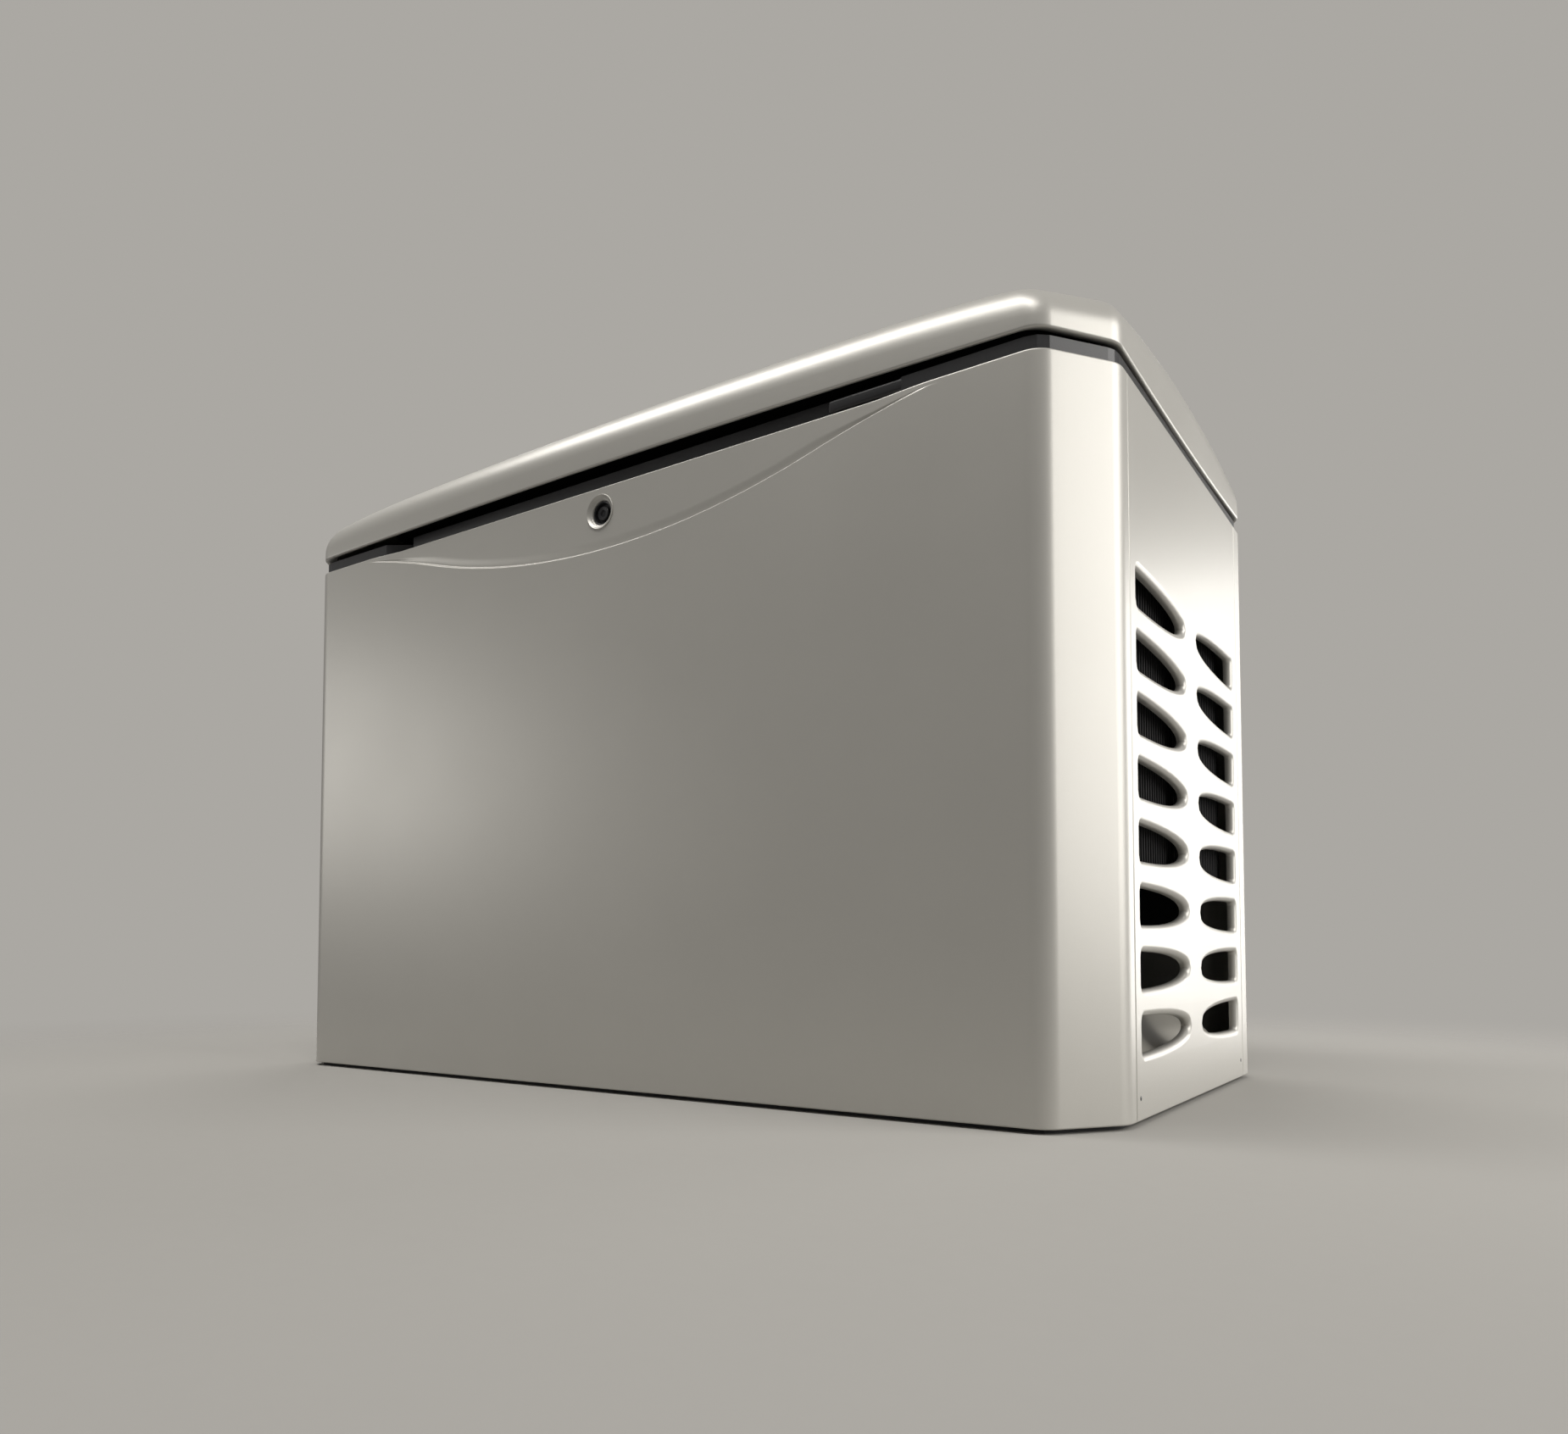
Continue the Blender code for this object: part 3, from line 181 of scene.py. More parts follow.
def finish_nodes():
    """Every CAD node gets the material of its slot, and the larger castings softer edges."""
    for part in frame["record"]["subparts"]:
        obj = nodes[part["node"]]
        obj.data.materials.clear()
        obj.data.materials.append(LOOKS[part["material_slot"]])
        obj.data.shade_smooth()
        obj.data.set_sharp_from_angle(angle=math.radians(38))
        if part["node"] in BEVELLED:
            soften(obj, BEVELLED[part["node"]])


def soften(obj, width):
    bevel = obj.modifiers.new("soft_edges", "BEVEL")
    bevel.width = width
    bevel.segments = 2
    bevel.limit_method = "ANGLE"
    bevel.angle_limit = math.radians(32)
    bevel.harden_normals = True


# ---- Mesh helpers ---------------------------------------------------------------------------


def piece(name, mesh_data, slot, body, sharp=40):
    """A finished object from a bmesh, riding on a body."""
    bmesh.ops.remove_doubles(mesh_data, verts=mesh_data.verts, dist=1e-6)
    bmesh.ops.recalc_face_normals(mesh_data, faces=mesh_data.faces)
    mesh = bpy.data.meshes.new(name)
    mesh_data.to_mesh(mesh)
    mesh_data.free()
    mesh.materials.append(LOOKS[slot])
    mesh.shade_smooth()
    mesh.set_sharp_from_angle(angle=math.radians(sharp))
    obj = bpy.data.objects.new(name, mesh)
    bpy.context.scene.collection.objects.link(obj)
    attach(obj, body)
    return obj


def merged(meshes):
    """One bmesh that holds several, whose sources are freed."""
    whole = bmesh.new()
    for part in meshes:
        shape = bpy.data.meshes.new("part")
        part.to_mesh(shape)
        part.free()
        whole.from_mesh(shape)
        bpy.data.meshes.remove(shape)
    return whole


def grid(rows, close_rows=False, close_columns=False):
    """A bmesh of quads between rows of points."""
    mesh = bmesh.new()
    verts = [[mesh.verts.new(point) for point in row] for row in rows]
    for i in range(len(verts) if close_rows else len(verts) - 1):
        near, far = verts[i], verts[(i + 1) % len(verts)]
        for j in range(len(near) if close_columns else len(near) - 1):
            k = (j + 1) % len(near)
            mesh.faces.new((near[j], near[k], far[k], far[j]))
    return mesh


AXES = {
    "X": Matrix(((0, 0, 1, 0), (1, 0, 0, 0), (0, 1, 0, 0), (0, 0, 0, 1))),
    "Y": Matrix(((0, 1, 0, 0), (0, 0, 1, 0), (1, 0, 0, 0), (0, 0, 0, 1))),
    "Z": Matrix.Identity(4),
}


def turned(profile, centre, axis="Z", steps=32):
    """A solid turned from (radius, along) points, with ends on the axis where the radius is 0."""
    rows = []
    for step in range(steps):
        turn = 2 * math.pi * step / steps
        rows.append([Vector((r * math.cos(turn), r * math.sin(turn), a)) for r, a in profile])
    mesh = grid(rows, close_rows=True, close_columns=profile[0][0] > 0)
    bmesh.ops.remove_doubles(mesh, verts=mesh.verts, dist=1e-7)
    mesh.transform(Matrix.Translation(centre) @ AXES[axis])
    return mesh


def block(low, high, bevel=0.001, segments=2):
    mesh = bmesh.new()
    low, high = Vector(low), Vector(high)
    bmesh.ops.create_cube(mesh, size=1.0)
    mesh.transform(Matrix.Translation((low + high) / 2) @ Matrix.Diagonal((*(high - low), 1)))
    bmesh.ops.bevel(
        mesh, geom=mesh.edges[:], offset=bevel, segments=segments, profile=0.5, affect="EDGES"
    )
    return mesh


def bolt(centre, axis, radius=0.006, flip=1):
    """A hexagon flange bolt's head, standing on a surface."""
    flange = [(0, 0), (radius * 1.5, 0), (radius * 1.5, 0.0008 * flip), (radius * 1.2, 0.0018 * flip)]
    flange += [(0, 0.0018 * flip)]
    head = [(0, 0), (radius, 0), (radius, 0.0050 * flip), (radius * 0.86, 0.0058 * flip)]
    head += [(0, 0.0058 * flip)]
    return merged([turned(flange, centre, axis, 20), turned(head, centre, axis, 6)])


# ---- Cabinet skins --------------------------------------------------------------------------


def outline_corners():
    quarter = [(HALF_X, -(HALF_Y - CORNER_Y)), (HALF_X - CORNER_X, -HALF_Y)]
    left = [(-x, y) for x, y in reversed(quarter)]
    return [Vector(p) for p in quarter + left + [(-x, -y) for x, y in quarter + left]]


def outline(arc_steps, run_length):
    """Plan points of the cabinet with their inward directions, from the right side's front corner
    clockwise, with every straight run cut into steps of about the run length."""
    corners = outline_corners()
    found = []
    for index, corner in enumerate(corners):
        before = (corners[index - 1] - corner).normalized()
        after = (corners[(index + 1) % len(corners)] - corner).normalized()
        half = before.angle(after) / 2
        centre = corner + (before + after).normalized() * FILLET / math.sin(half)
        start = corner + before * FILLET / math.tan(half) - centre
        turn = math.pi - 2 * half
        for step in range(arc_steps + 1):
            arm = Matrix.Rotation(-turn * step / arc_steps, 2) @ start
            found.append((centre + arm, -arm.normalized()))
    points = []
    for index, (point, inward) in enumerate(found):
        points.append((point, inward))
        following, next_inward = found[(index + 1) % len(found)]
        straight = (inward - next_inward).length < 0.01
        parts = max(round((following - point).length / run_length), 1) if straight else 1
        for part in range(1, parts):
            points.append((point.lerp(following, part / parts), inward))
    return points


def ease(value):
    value = min(max(value, 0.0), 1.0)
    return value * value * (3 - 2 * value)


def smile_height(x):
    """Height of the recess's lower edge: an arc that flattens a little before it meets the panel's
    top edge at an angle."""
    reach = min(abs(x), SMILE_BEND)
    leg = math.sqrt(SMILE_RADIUS**2 - reach**2)
    beyond = abs(x) - reach
    return SMILE_LOW + SMILE_RADIUS - leg + beyond * reach / leg - SMILE_FLATTEN * beyond**2


ROUND_STEPS = [math.pi / 2 * step / 4 for step in range(5)]


def wall_columns(seam):
    """Plan points of a panel that wraps two corners, from its right seam to its left one. Each
    comes with its inward direction and how far its rounded edge has turned in."""
    path = outline(10, 0.012)
    inside = [point.y < seam - 0.004 for point, _ in path]
    start = next(i for i in range(len(path)) if inside[i] and not inside[i - 1])
    ordered = path[start:] + path[:start]
    middle = [(point, inward, 0.0) for point, inward in ordered if point.y < seam - 0.004]
    edge = [(seam, 0.014), (seam, 0.006)]
    for turn in ROUND_STEPS:
        edge.append((seam - EDGE_ROUND * (1 - math.cos(turn)), EDGE_ROUND * (1 - math.sin(turn))))
    right = [(Vector((HALF_X, y)), Vector((-1, 0)), inset) for y, inset in edge]
    left = [(Vector((-HALF_X, y)), Vector((1, 0)), inset) for y, inset in reversed(edge)]
    return right + middle + left


def wall_column(point, inward, start, recessed):
    """One upright line of a wrapped panel: bottom return, face, recess, rounded top and return."""
    low, top = PANEL_LOW, PANEL_TOP
    height, fade = top - 0.006, 0.0
    if recessed and abs(point.y + HALF_Y) < 1e-6 and abs(point.x) < SMILE_HALF:
        height = smile_height(point.x)
        fade = min(max((top - 0.0045 - height) / 0.012, 0.0), 1.0)
    deep = SMILE_DEPTH * fade
    steps = [(0.014, low, 0.0)]
    for turn in ROUND_STEPS:
        steps.append((EDGE_ROUND * (1 - math.sin(turn)), low + EDGE_ROUND * (1 - math.cos(turn)), 0.0))
    foot = min(height - 0.002, top - 0.006)
    for step in range(1, 15):
        steps.append((0.0, low + EDGE_ROUND + (foot - low - EDGE_ROUND) * step / 14, 0.0))
    climb = min(0.0045, (top - EDGE_ROUND - foot) * 0.30)
    for step in range(1, 9):
        steps.append((0.0, foot + climb * step / 8, (deep + 0.0012 * fade) * ease(step / 8)))
    settled = min(0.016, (top - EDGE_ROUND - foot) * 0.45)
    for step in range(1, 7):
        height = foot + climb + (settled - climb) * step / 6
        steps.append((0.0, height, deep + 0.0012 * fade * (1 - ease(step / 6))))
    reach = foot + settled
    for step in range(1, 5):
        steps.append((0.0, reach + (top - EDGE_ROUND - reach) * step / 4, deep))
    for turn in ROUND_STEPS[1:]:
        steps.append((EDGE_ROUND * (1 - math.cos(turn)), top - EDGE_ROUND * (1 - math.sin(turn)), deep))
    steps.append((0.014, top, deep))
    return [Vector((*(point + inward * (max(start, inset) + depth)), z)) for inset, z, depth in steps]


def thicken(obj, thickness):
    solid = obj.modifiers.new("sheet", "SOLIDIFY")
    solid.thickness = thickness
    solid.offset = -1
    even_shading(obj)


def even_shading(obj):
    """Keeps flat faces flat to the eye, right up to their rounded edges."""
    weighted = obj.modifiers.new("even_shading", "WEIGHTED_NORMAL")
    weighted.keep_sharp = True
    weighted.weight = 60


def cut(obj, tools):
    """Cuts closed bmeshes out of an object for good, after its other modifiers."""
    helpers = []
    for tool in tools:
        bmesh.ops.recalc_face_normals(tool, faces=tool.faces)
        shape = bpy.data.meshes.new("tool")
        tool.to_mesh(shape)
        tool.free()
        helper = bpy.data.objects.new("tool", shape)
        bpy.context.scene.collection.objects.link(helper)
        helper.matrix_world = Matrix.Identity(4)
        helpers.append(helper)
        hole = obj.modifiers.new("hole", "BOOLEAN")
        hole.operation = "DIFFERENCE"
        hole.solver = "FAST"
        hole.object = helper
    bpy.context.view_layer.update()
    graph = bpy.context.evaluated_depsgraph_get()
    made = bpy.data.meshes.new_from_object(obj.evaluated_get(graph))
    obj.modifiers.clear()
    obj.data = made
    obj.data.set_sharp_from_angle(angle=math.radians(40))
    for helper in helpers:
        bpy.data.objects.remove(helper)
    even_shading(obj)


def facing_out(mesh, centre):
    """Turns a sheet's faces away from the cabinet's middle."""
    bmesh.ops.recalc_face_normals(mesh, faces=mesh.faces)
    total = sum((f.calc_center_median() - centre).dot(f.normal) * f.calc_area() for f in mesh.faces)
    if total < 0:
        bmesh.ops.reverse_faces(mesh, faces=mesh.faces)


def sheet_piece(name, mesh_data, thickness, sharp=50):
    """A finished painted sheet, thickened inwards."""
    bmesh.ops.remove_doubles(mesh_data, verts=mesh_data.verts, dist=1e-6)
    facing_out(mesh_data, Vector((0, 0, 0.38)))
    mesh = bpy.data.meshes.new(name)
    mesh_data.to_mesh(mesh)
    mesh_data.free()
    mesh.materials.append(LOOKS["cabinet_paint"])
    mesh.shade_smooth()
    mesh.set_sharp_from_angle(angle=math.radians(sharp))
    obj = bpy.data.objects.new(name, mesh)
    bpy.context.scene.collection.objects.link(obj)
    thicken(obj, thickness)
    return obj


def settle(obj, body, replaced):
    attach(obj, body)
    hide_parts(replaced)


def rod(centre, axis, radius, low, high, steps=40):
    return turned([(0, low), (radius, low), (radius, high), (0, high)], centre, axis, steps)


def front_skin():
    columns = wall_columns(FRONT_HIGH[1])
    mesh = grid([wall_column(*column, True) for column in columns])
    obj = sheet_piece("front_skin", mesh, 0.0016)
    cut(obj, [rod(LOCK_CENTRE, "Y", 0.0205, -0.032, 0.028, 56)])
    settle(obj, "front_cover", "front_panel")


def rear_skin():
    low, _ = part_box("rear_panel")
    columns = wall_columns(-low[1])
    mesh = grid([wall_column(*column, False) for column in columns])
    mesh.transform(Matrix.Rotation(math.pi, 4, "Z"))
    obj = sheet_piece("rear_skin", mesh, 0.0016)
    cut(obj, [
        rod(Vector((-0.14, 0.333, 0.14)), "Y", 0.016, -0.03, 0.03),
        rod(Vector((0.30, 0.333, 0.14)), "Y", 0.022, -0.03, 0.03),
    ])
    settle(obj, "cabinet", "rear_panel")


def vent_outline(row, side, grow, steps=18):
    """Points (y, z) of a leaf-shaped vent's edge, moved outwards by grow."""
    middle_z = VENT_TOP - VENT_PITCH * row
    reach, half, corner = VENT_FAR - VENT_NEAR, VENT_HALF, 0.005
    points = [(0, -half + corner), (0, half - corner), (corner * 0.3, half - corner * 0.3)]
    for step in range(steps + 1):
        turn = math.pi * (0.5 - step / steps)
        blunt = math.copysign(abs(math.sin(turn)) ** 0.86, math.sin(turn))
        points.append((max(reach * max(math.cos(turn), 0.0) ** 0.86, corner), half * blunt))
    points.append((corner * 0.3, -half + corner * 0.3))
    found = []
    for index, point in enumerate(points):
        ahead = Vector(points[(index + 1) % len(points)]) - Vector(points[index - 1])
        spot = Vector(point) + Vector((-ahead.y, ahead.x)).normalized() * grow
        found.append((VENT_MIDDLE + side * (VENT_FAR - spot.x), middle_z + spot.y))
    return found


def side_skin(name, side, replaced):
    """A side panel: a flat sheet with rounded edges, and a rolled lip round each vent."""
    face = side * HALF_X

    def border(inset):
        low_y, high_y = FRONT_SEAM + inset, REAR_SEAM - inset
        low_z, high_z = PANEL_LOW + inset, PANEL_TOP - inset
        return [(low_y, low_z), (high_y, low_z), (high_y, high_z), (low_y, high_z)]

    vents = [(row, column) for row in range(VENT_ROWS) for column in (-1, 1)]
    loops = [border(EDGE_ROUND)] + [vent_outline(row, column, LIP_ROUND) for row, column in vents]
    flat = [[Vector((y, z, 0)) for y, z in loop] for loop in loops]
    mesh = bmesh.new()
    verts = [mesh.verts.new((face, point.x, point.y)) for loop in flat for point in loop]
    for a, b, c in tessellate_polygon(flat):
        mesh.faces.new((verts[a], verts[b], verts[c]))
    rim = []
    for turn in reversed(ROUND_STEPS):
        inset = EDGE_ROUND * (1 - math.cos(turn))
        depth = EDGE_ROUND * (1 - math.sin(turn))
        rim.append([Vector((face - side * depth, y, z)) for y, z in border(inset)])
    rim.reverse()
    rim.insert(0, [Vector((face - side * 0.014, y, z)) for y, z in border(0)])
    parts = [mesh, grid(rim, close_columns=True)]
    for row, column in vents:
        lip = []
        for step in range(9):
            turn = math.pi / 2 * step / 8
            grow = LIP_ROUND * (1 - math.sin(turn))
            depth = LIP_ROUND * (1 - math.cos(turn))
            lip.append([Vector((face - side * depth, y, z)) for y, z in vent_outline(row, column, grow)])
        lip.append([Vector((face - side * LIP_DEPTH, y, z)) for y, z in vent_outline(row, column, 0)])
        parts.append(grid(lip, close_columns=True))
    obj = sheet_piece(name, merged(parts), 0.0014)
    settle(obj, "cabinet", replaced)


def lid_top(x, y):
    u, v = x / HALF_X, y / HALF_Y
    return 0.8282 + 0.0114 * (1 - u**2) - (0.018 + 0.014 * u**8) * v**2


def lid_lip(x, y):
    """Height of the roof's lower edge, which arches over the front and dips at the sides."""
    if abs(y) > HALF_Y - CORNER_Y:
        return 0.7437 + 0.0076 * (1 - (x / HALF_X) ** 2)
    return 0.7437 - 0.0047 * (1 - (y / (HALF_Y - CORNER_Y)) ** 2)


def roof_ring(edge, inset, height):
    """One closed ring of the roof, drawn in towards the middle by the inset."""
    row = []
    for point, _ in edge:
        plan = (point.x * (HALF_X - inset) / HALF_X, point.y * (HALF_Y - inset) / HALF_Y)
        row.append(Vector((*plan, height(*point))))
    return row


def domed(edge, rings, lower=0.0):
    """Closes the rings with a shallow dome that follows the roof, lower by a set distance."""
    flat = rings[-1]
    for step in range(1, 9):
        scale = 1 - step / 9
        row = [(point.x * scale, point.y * scale) for point in flat]
        rings.append([Vector((x, y, lid_top(x, y) - lower)) for x, y in row])
    mesh = grid(rings, close_columns=True)
    crown = mesh.verts.new((0, 0, lid_top(0, 0) - lower))
    mesh.verts.ensure_lookup_table()
    first = (len(rings) - 1) * len(edge)
    for index in range(len(edge)):
        after = (index + 1) % len(edge)
        mesh.faces.new((mesh.verts[first + index], mesh.verts[first + after], crown))
    return mesh


def lid_skin():
    """The crowned roof: a rolled lip, an upright face, a wide rounded edge and a shallow dome."""
    edge = outline(10, 0.02)
    lip = 0.0024
    rings = [roof_ring(edge, 0.012, lambda x, y: lid_lip(x, y) + 0.005)]
    rings.append(roof_ring(edge, 0.0045, lambda x, y: lid_lip(x, y) + 0.0004))
    for turn in ROUND_STEPS:
        rings.append(roof_ring(
            edge, lip * (1 - math.sin(turn)), lambda x, y, t=turn: lid_lip(x, y) + lip * (1 - math.cos(t))
        ))
    for step in range(13):
        turn = math.pi / 2 * step / 12
        rings.append(roof_ring(
            edge, LID_ROUND * (1 - math.cos(turn)),
            lambda x, y, t=turn: lid_top(x, y) - LID_ROUND * (1 - math.sin(t)),
        ))
    obj = sheet_piece("roof_skin", domed(edge, rings), 0.0022, 60)
    settle(obj, "roof", "lid")


# ---- Fittings on the cabinet ----------------------------------------------------------------


def ring_band(inner, outer, low, high, centre, axis="Z", steps=32, edge=0.0004):
    """A turned ring whose four edges are rounded off a little."""
    profile = [
        (inner + edge, low), (outer - edge, low), (outer, low + edge), (outer, high - edge),
        (outer - edge, high), (inner + edge, high), (inner, high - edge), (inner, low + edge),
    ]
    return turned(profile, centre, axis, steps)


def torus(centre, axis, radius, thickness, steps=36, around=8):
    turns = [2 * math.pi * step / around for step in range(around)]
    profile = [(radius + thickness * math.cos(t), thickness * math.sin(t)) for t in turns]
    return turned(profile, centre, axis, steps)


def strut_brackets():
    """Plates that hang from the roof beside the heads of the gas struts, each on a small foot."""
    for side, name in ((-1, "left"), (1, "right")):
        near, far = sorted((side * (STRUT_X + 0.006), side * (STRUT_X + 0.009)))
        top = lid_top(STRUT_X + 0.022, STRUT_HEAD_Y + 0.014) - 0.0034
        plate = block(
            (near, STRUT_HEAD_Y - 0.010, STRUT_HEAD_Z - 0.010), (far, STRUT_HEAD_Y + 0.010, top), 0.0009
        )
        inner, outer = sorted((side * (STRUT_X + 0.009), side * (STRUT_X + 0.022)))
        foot = block(
            (inner, STRUT_HEAD_Y - 0.014, top - 0.0026), (outer, STRUT_HEAD_Y + 0.014, top), 0.0008
        )
        head = bolt(Vector((far if side > 0 else near, STRUT_HEAD_Y, STRUT_HEAD_Z)), "X", 0.0045, side)
        piece(f"strut_bracket_{name}", merged([plate, foot, head]), "black_steel", "roof")


def roof_liner():
    """A shell of dark foam under the roof, with a rounded edge."""
    edge = outline(4, 0.04)
    rings = [roof_ring(edge, 0.070, lambda x, y: lid_top(x * 0.88, y * 0.88) - 0.004)]
    rings.append(roof_ring(edge, 0.066, lambda x, y: lid_top(x * 0.88, y * 0.88) - 0.009))
    rings.append(roof_ring(edge, 0.072, lambda x, y: lid_top(x * 0.88, y * 0.88) - 0.0125))
    liner = domed(edge, rings, 0.0125)
    piece("roof_liner", liner, "dark_foam", "roof", sharp=60)


def wall_liners():
    """Foam pads on the insides of the front and rear panels, with a quilted face."""
    for name, y, direction, body, low_z in (
        ("front_liner", -0.3295, 1, "front_cover", 0.080), ("rear_liner", 0.3295, -1, "cabinet", 0.195)
    ):
        rows = []
        for step in range(41):
            x = -0.52 + 1.04 * step / 40
            row = []
            for level in range(25):
                z = low_z + (0.630 - low_z) * level / 24
                border = min(step, 40 - step, level, 24 - level)
                swell = abs(math.sin(math.pi * step / 5) * math.sin(math.pi * level / 4)) ** 0.4
                depth = 0.0 if border == 0 else 0.0045 + 0.003 * swell
                row.append(Vector((x, y + direction * depth, z)))
            rows.append(row)
        mesh = grid(rows)
        pad = piece(name, mesh, "dark_foam", body, sharp=80)
        backing = pad.modifiers.new("backing", "SOLIDIFY")
        backing.thickness = 0.0012
        backing.offset = 0


def rim_seal():
    """A soft bulb that runs round the rim, where the roof comes down on it."""
    rows = []
    for point, inward in outline(4, 0.03):
        centre = Vector((*(point + inward * 0.052), 0.7412))
        row = []
        for step in range(8):
            turn = 2 * math.pi * step / 8
            across = inward * 0.0032 * math.cos(turn)
            row.append(centre + Vector((across.x, across.y, 0.0026 * math.sin(turn))))
        rows.append(row)
    piece("rim_seal", grid(rows, close_rows=True, close_columns=True), "rubber", "cabinet")


def vent_screens():
    """A dark ribbed screen behind the upper vents of each side panel."""
    for side, name in ((-1, "left"), (1, "right")):
        near, far = sorted((side * 0.5790, side * 0.5860))
        low_y, high_y, low_z, high_z = -0.228, 0.213, 0.235, 0.562
        parts = [block((near + 0.001, low_y, low_z), (near + 0.002, high_y, high_z), 0.0003, 1)]
        for z in (low_z, high_z - 0.008):
            parts.append(block((near, low_y, z), (far, high_y, z + 0.008), 0.0008, 1))
        for index in range(49):
            y = low_y + (high_y - low_y) * (index + 0.5) / 49
            low, high = (near, y - 0.0014, low_z + 0.004), (far, y + 0.0014, high_z - 0.004)
            parts.append(block(low, high, 0.0006, 1))
        piece(f"{name}_vent_screen", merged(parts), "dark_foam", "cabinet")


def base_ducts():
    """Pressed air scoops that stand on the base pan inside each side panel."""
    for side, name in ((-1, "left"), (1, "right")):
        rows = []
        for step in range(33):
            turn = math.pi * step / 32
            y = -0.0085 - 0.205 * math.cos(turn)
            row = []
            for level in range(7):
                t = level / 6
                reach = 0.586 - 0.030 * t - 0.052 * t * math.sin(turn)
                rise = 0.062 * ease(t) * (0.35 + 0.65 * math.sin(turn))
                row.append(Vector((side * reach, y, 0.052 + rise)))
            rows.append(row)
        mesh = grid(rows)
        duct = piece(f"{name}_air_scoop", mesh, "base_composite", "cabinet", sharp=70)
        thicken(duct, 0.002)


def lock_details():
    """The lock's dished ring, and its barrel with a raised collar, a hub and a keyway."""
    dish = [
        (0.0203, 0.0030), (0.0203, 0.0), (0.0212, 0.0), (0.0214, -0.0006), (0.0209, -0.0012),
        (0.0202, -0.0010), (0.0196, -0.0001), (0.0180, 0.0013), (0.0166, 0.0023), (0.0156, 0.0026),
        (0.0150, 0.0034), (0.0148, 0.0100), (0.0164, 0.0100), (0.0172, 0.0045), (0.0190, 0.0034),
    ]
    ring = piece("lock_dish", turned(dish, LOCK_CENTRE, "Y", 64), "cabinet_paint", "front_cover", sharp=70)
    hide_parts("lock_bezel")
    barrel = [
        (0, 0.0072), (0.0036, 0.0072), (0.0042, 0.0058), (0.0078, 0.0052), (0.0086, 0.0060),
        (0.0090, 0.0092), (0.0118, 0.0092), (0.0128, 0.0052), (0.0142, 0.0046), (0.0147, 0.0056),
        (0.0147, 0.0120), (0, 0.0120),
    ]
    keyway = block((-0.0006, -0.3212, 0.6922), (0.0006, -0.3204, 0.6978), 0.0002, 1)
    core = merged([turned(barrel, LOCK_CENTRE, "Y", 48), keyway])
    core = piece("lock_barrel", core, "black_plastic", "lock_core", sharp=35)
    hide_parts("lock_plug")


def grip_stop():
    """A rounded block on the rim that ends the finger grip on the right, and a strip behind the grip whose
    lighter plastic is painted light for the shade under the roof's overhang.
    """
    stop = block((0.323, -0.3285, 0.7262), (0.412, -0.2940, 0.7394), 0.0035, 4)
    piece("grip_stop", stop, "black_plastic", "cabinet", sharp=60)
    # This strip's lighter plastic is painted light: it brightens the shaded gap between the rim and the
    # roof's lip.
    face = block((-0.372, -0.3125, 0.7262), (0.330, -0.3100, 0.7476), 0.0010)
    feet = [block((low, -0.3120, 0.7262), (high, -0.2940, 0.7284), 0.0008)
            for low, high in ((-0.372, -0.020), (0.020, 0.330))]
    piece("grip_painted_light_strip", merged([face] + feet), "grip_painted_light_plastic", "cabinet")


def hinge_screws():
    heads = []
    for index in range(9):
        x = -0.36 + 0.09 * index
        heads.append(turned(
            [(0, 0.0016), (0.0026, 0.0012), (0.0042, 0.0002), (0.0042, -0.0004), (0, -0.0004)],
            Vector((x, 0.3268, 0.7555)), "Y", 16
        ))
    piece("hinge_screws", merged(heads), "bright_steel", "roof")


def panel_screws():
    """Low round-headed screws at the feet of the side panels."""
    heads = []
    for side in (-1, 1):
        for y in (FRONT_SEAM + 0.012, REAR_SEAM - 0.012):
            profile = [(0, 0.0024), (0.0022, 0.0021), (0.0038, 0.0010), (0.0042, 0), (0.0042, -0.001)]
            profile.append((0, -0.001))
            spot = Vector((side * (HALF_X - 0.0019), y, 0.026))
            heads.append(turned([(r, side * a) for r, a in profile], spot, "X", 18))
    piece("panel_screws", merged(heads), "black_steel", "cabinet")


# ---- Details of the machinery ---------------------------------------------------------------


def bolts(name, slot, body, spots, radius=0.005):
    """Bolt heads at (centre, axis, direction)."""
    piece(name, merged([bolt(Vector(c), axis, radius, flip) for c, axis, flip in spots]), slot, body)


def bank_frame(side, x):
    lean = Matrix.Rotation(-side * math.radians(45), 4, "X")
    return Matrix.Translation((x, CRANK_Y, CRANK_Z)) @ lean


def head_bolts():
    for side, x, name in ((-1, 0.065, "front"), (1, 0.110, "rear")):
        heads = []
        for dx in (-0.0445, 0.0445):
            for dy in (-0.0385, 0.0385):
                head = bolt(Vector((dx, dy, 0.2655)), "Z", 0.0048)
                head.transform(bank_frame(side, x))
                heads.append(head)
        ribs = []
        for dx in (-0.028, 0.0, 0.028):
            rib = block((dx - 0.004, -0.026, 0.2640), (dx + 0.004, 0.026, 0.2678), 0.0014)
            rib.transform(bank_frame(side, x))
            ribs.append(rib)
        piece(f"valve_cover_bolts_{name}", merged(heads), "bright_steel", "cabinet")
        piece(f"valve_cover_ribs_{name}", merged(ribs), "black_steel", "cabinet")


def fan_guard():
    """Concentric wires and spokes over the mouth of the fan's shroud."""
    centre = Vector((0.3635, CRANK_Y, CRANK_Z))
    wires = [torus(centre, "X", radius, 0.0012, 40, 6) for radius in (0.020, 0.042, 0.064, 0.086, 0.108)]
    for index in range(6):
        spoke = block((-0.0012, -0.0014, 0.006), (0.0012, 0.0014, 0.1115), 0.0004, 1)
        turn = Matrix.Rotation(math.pi * index / 3, 4, "X")
        spoke.transform(Matrix.Translation(centre - Vector((0.0014, 0, 0))) @ turn)
        wires.append(spoke)
    piece("fan_guard", merged(wires), "black_steel", "cabinet")


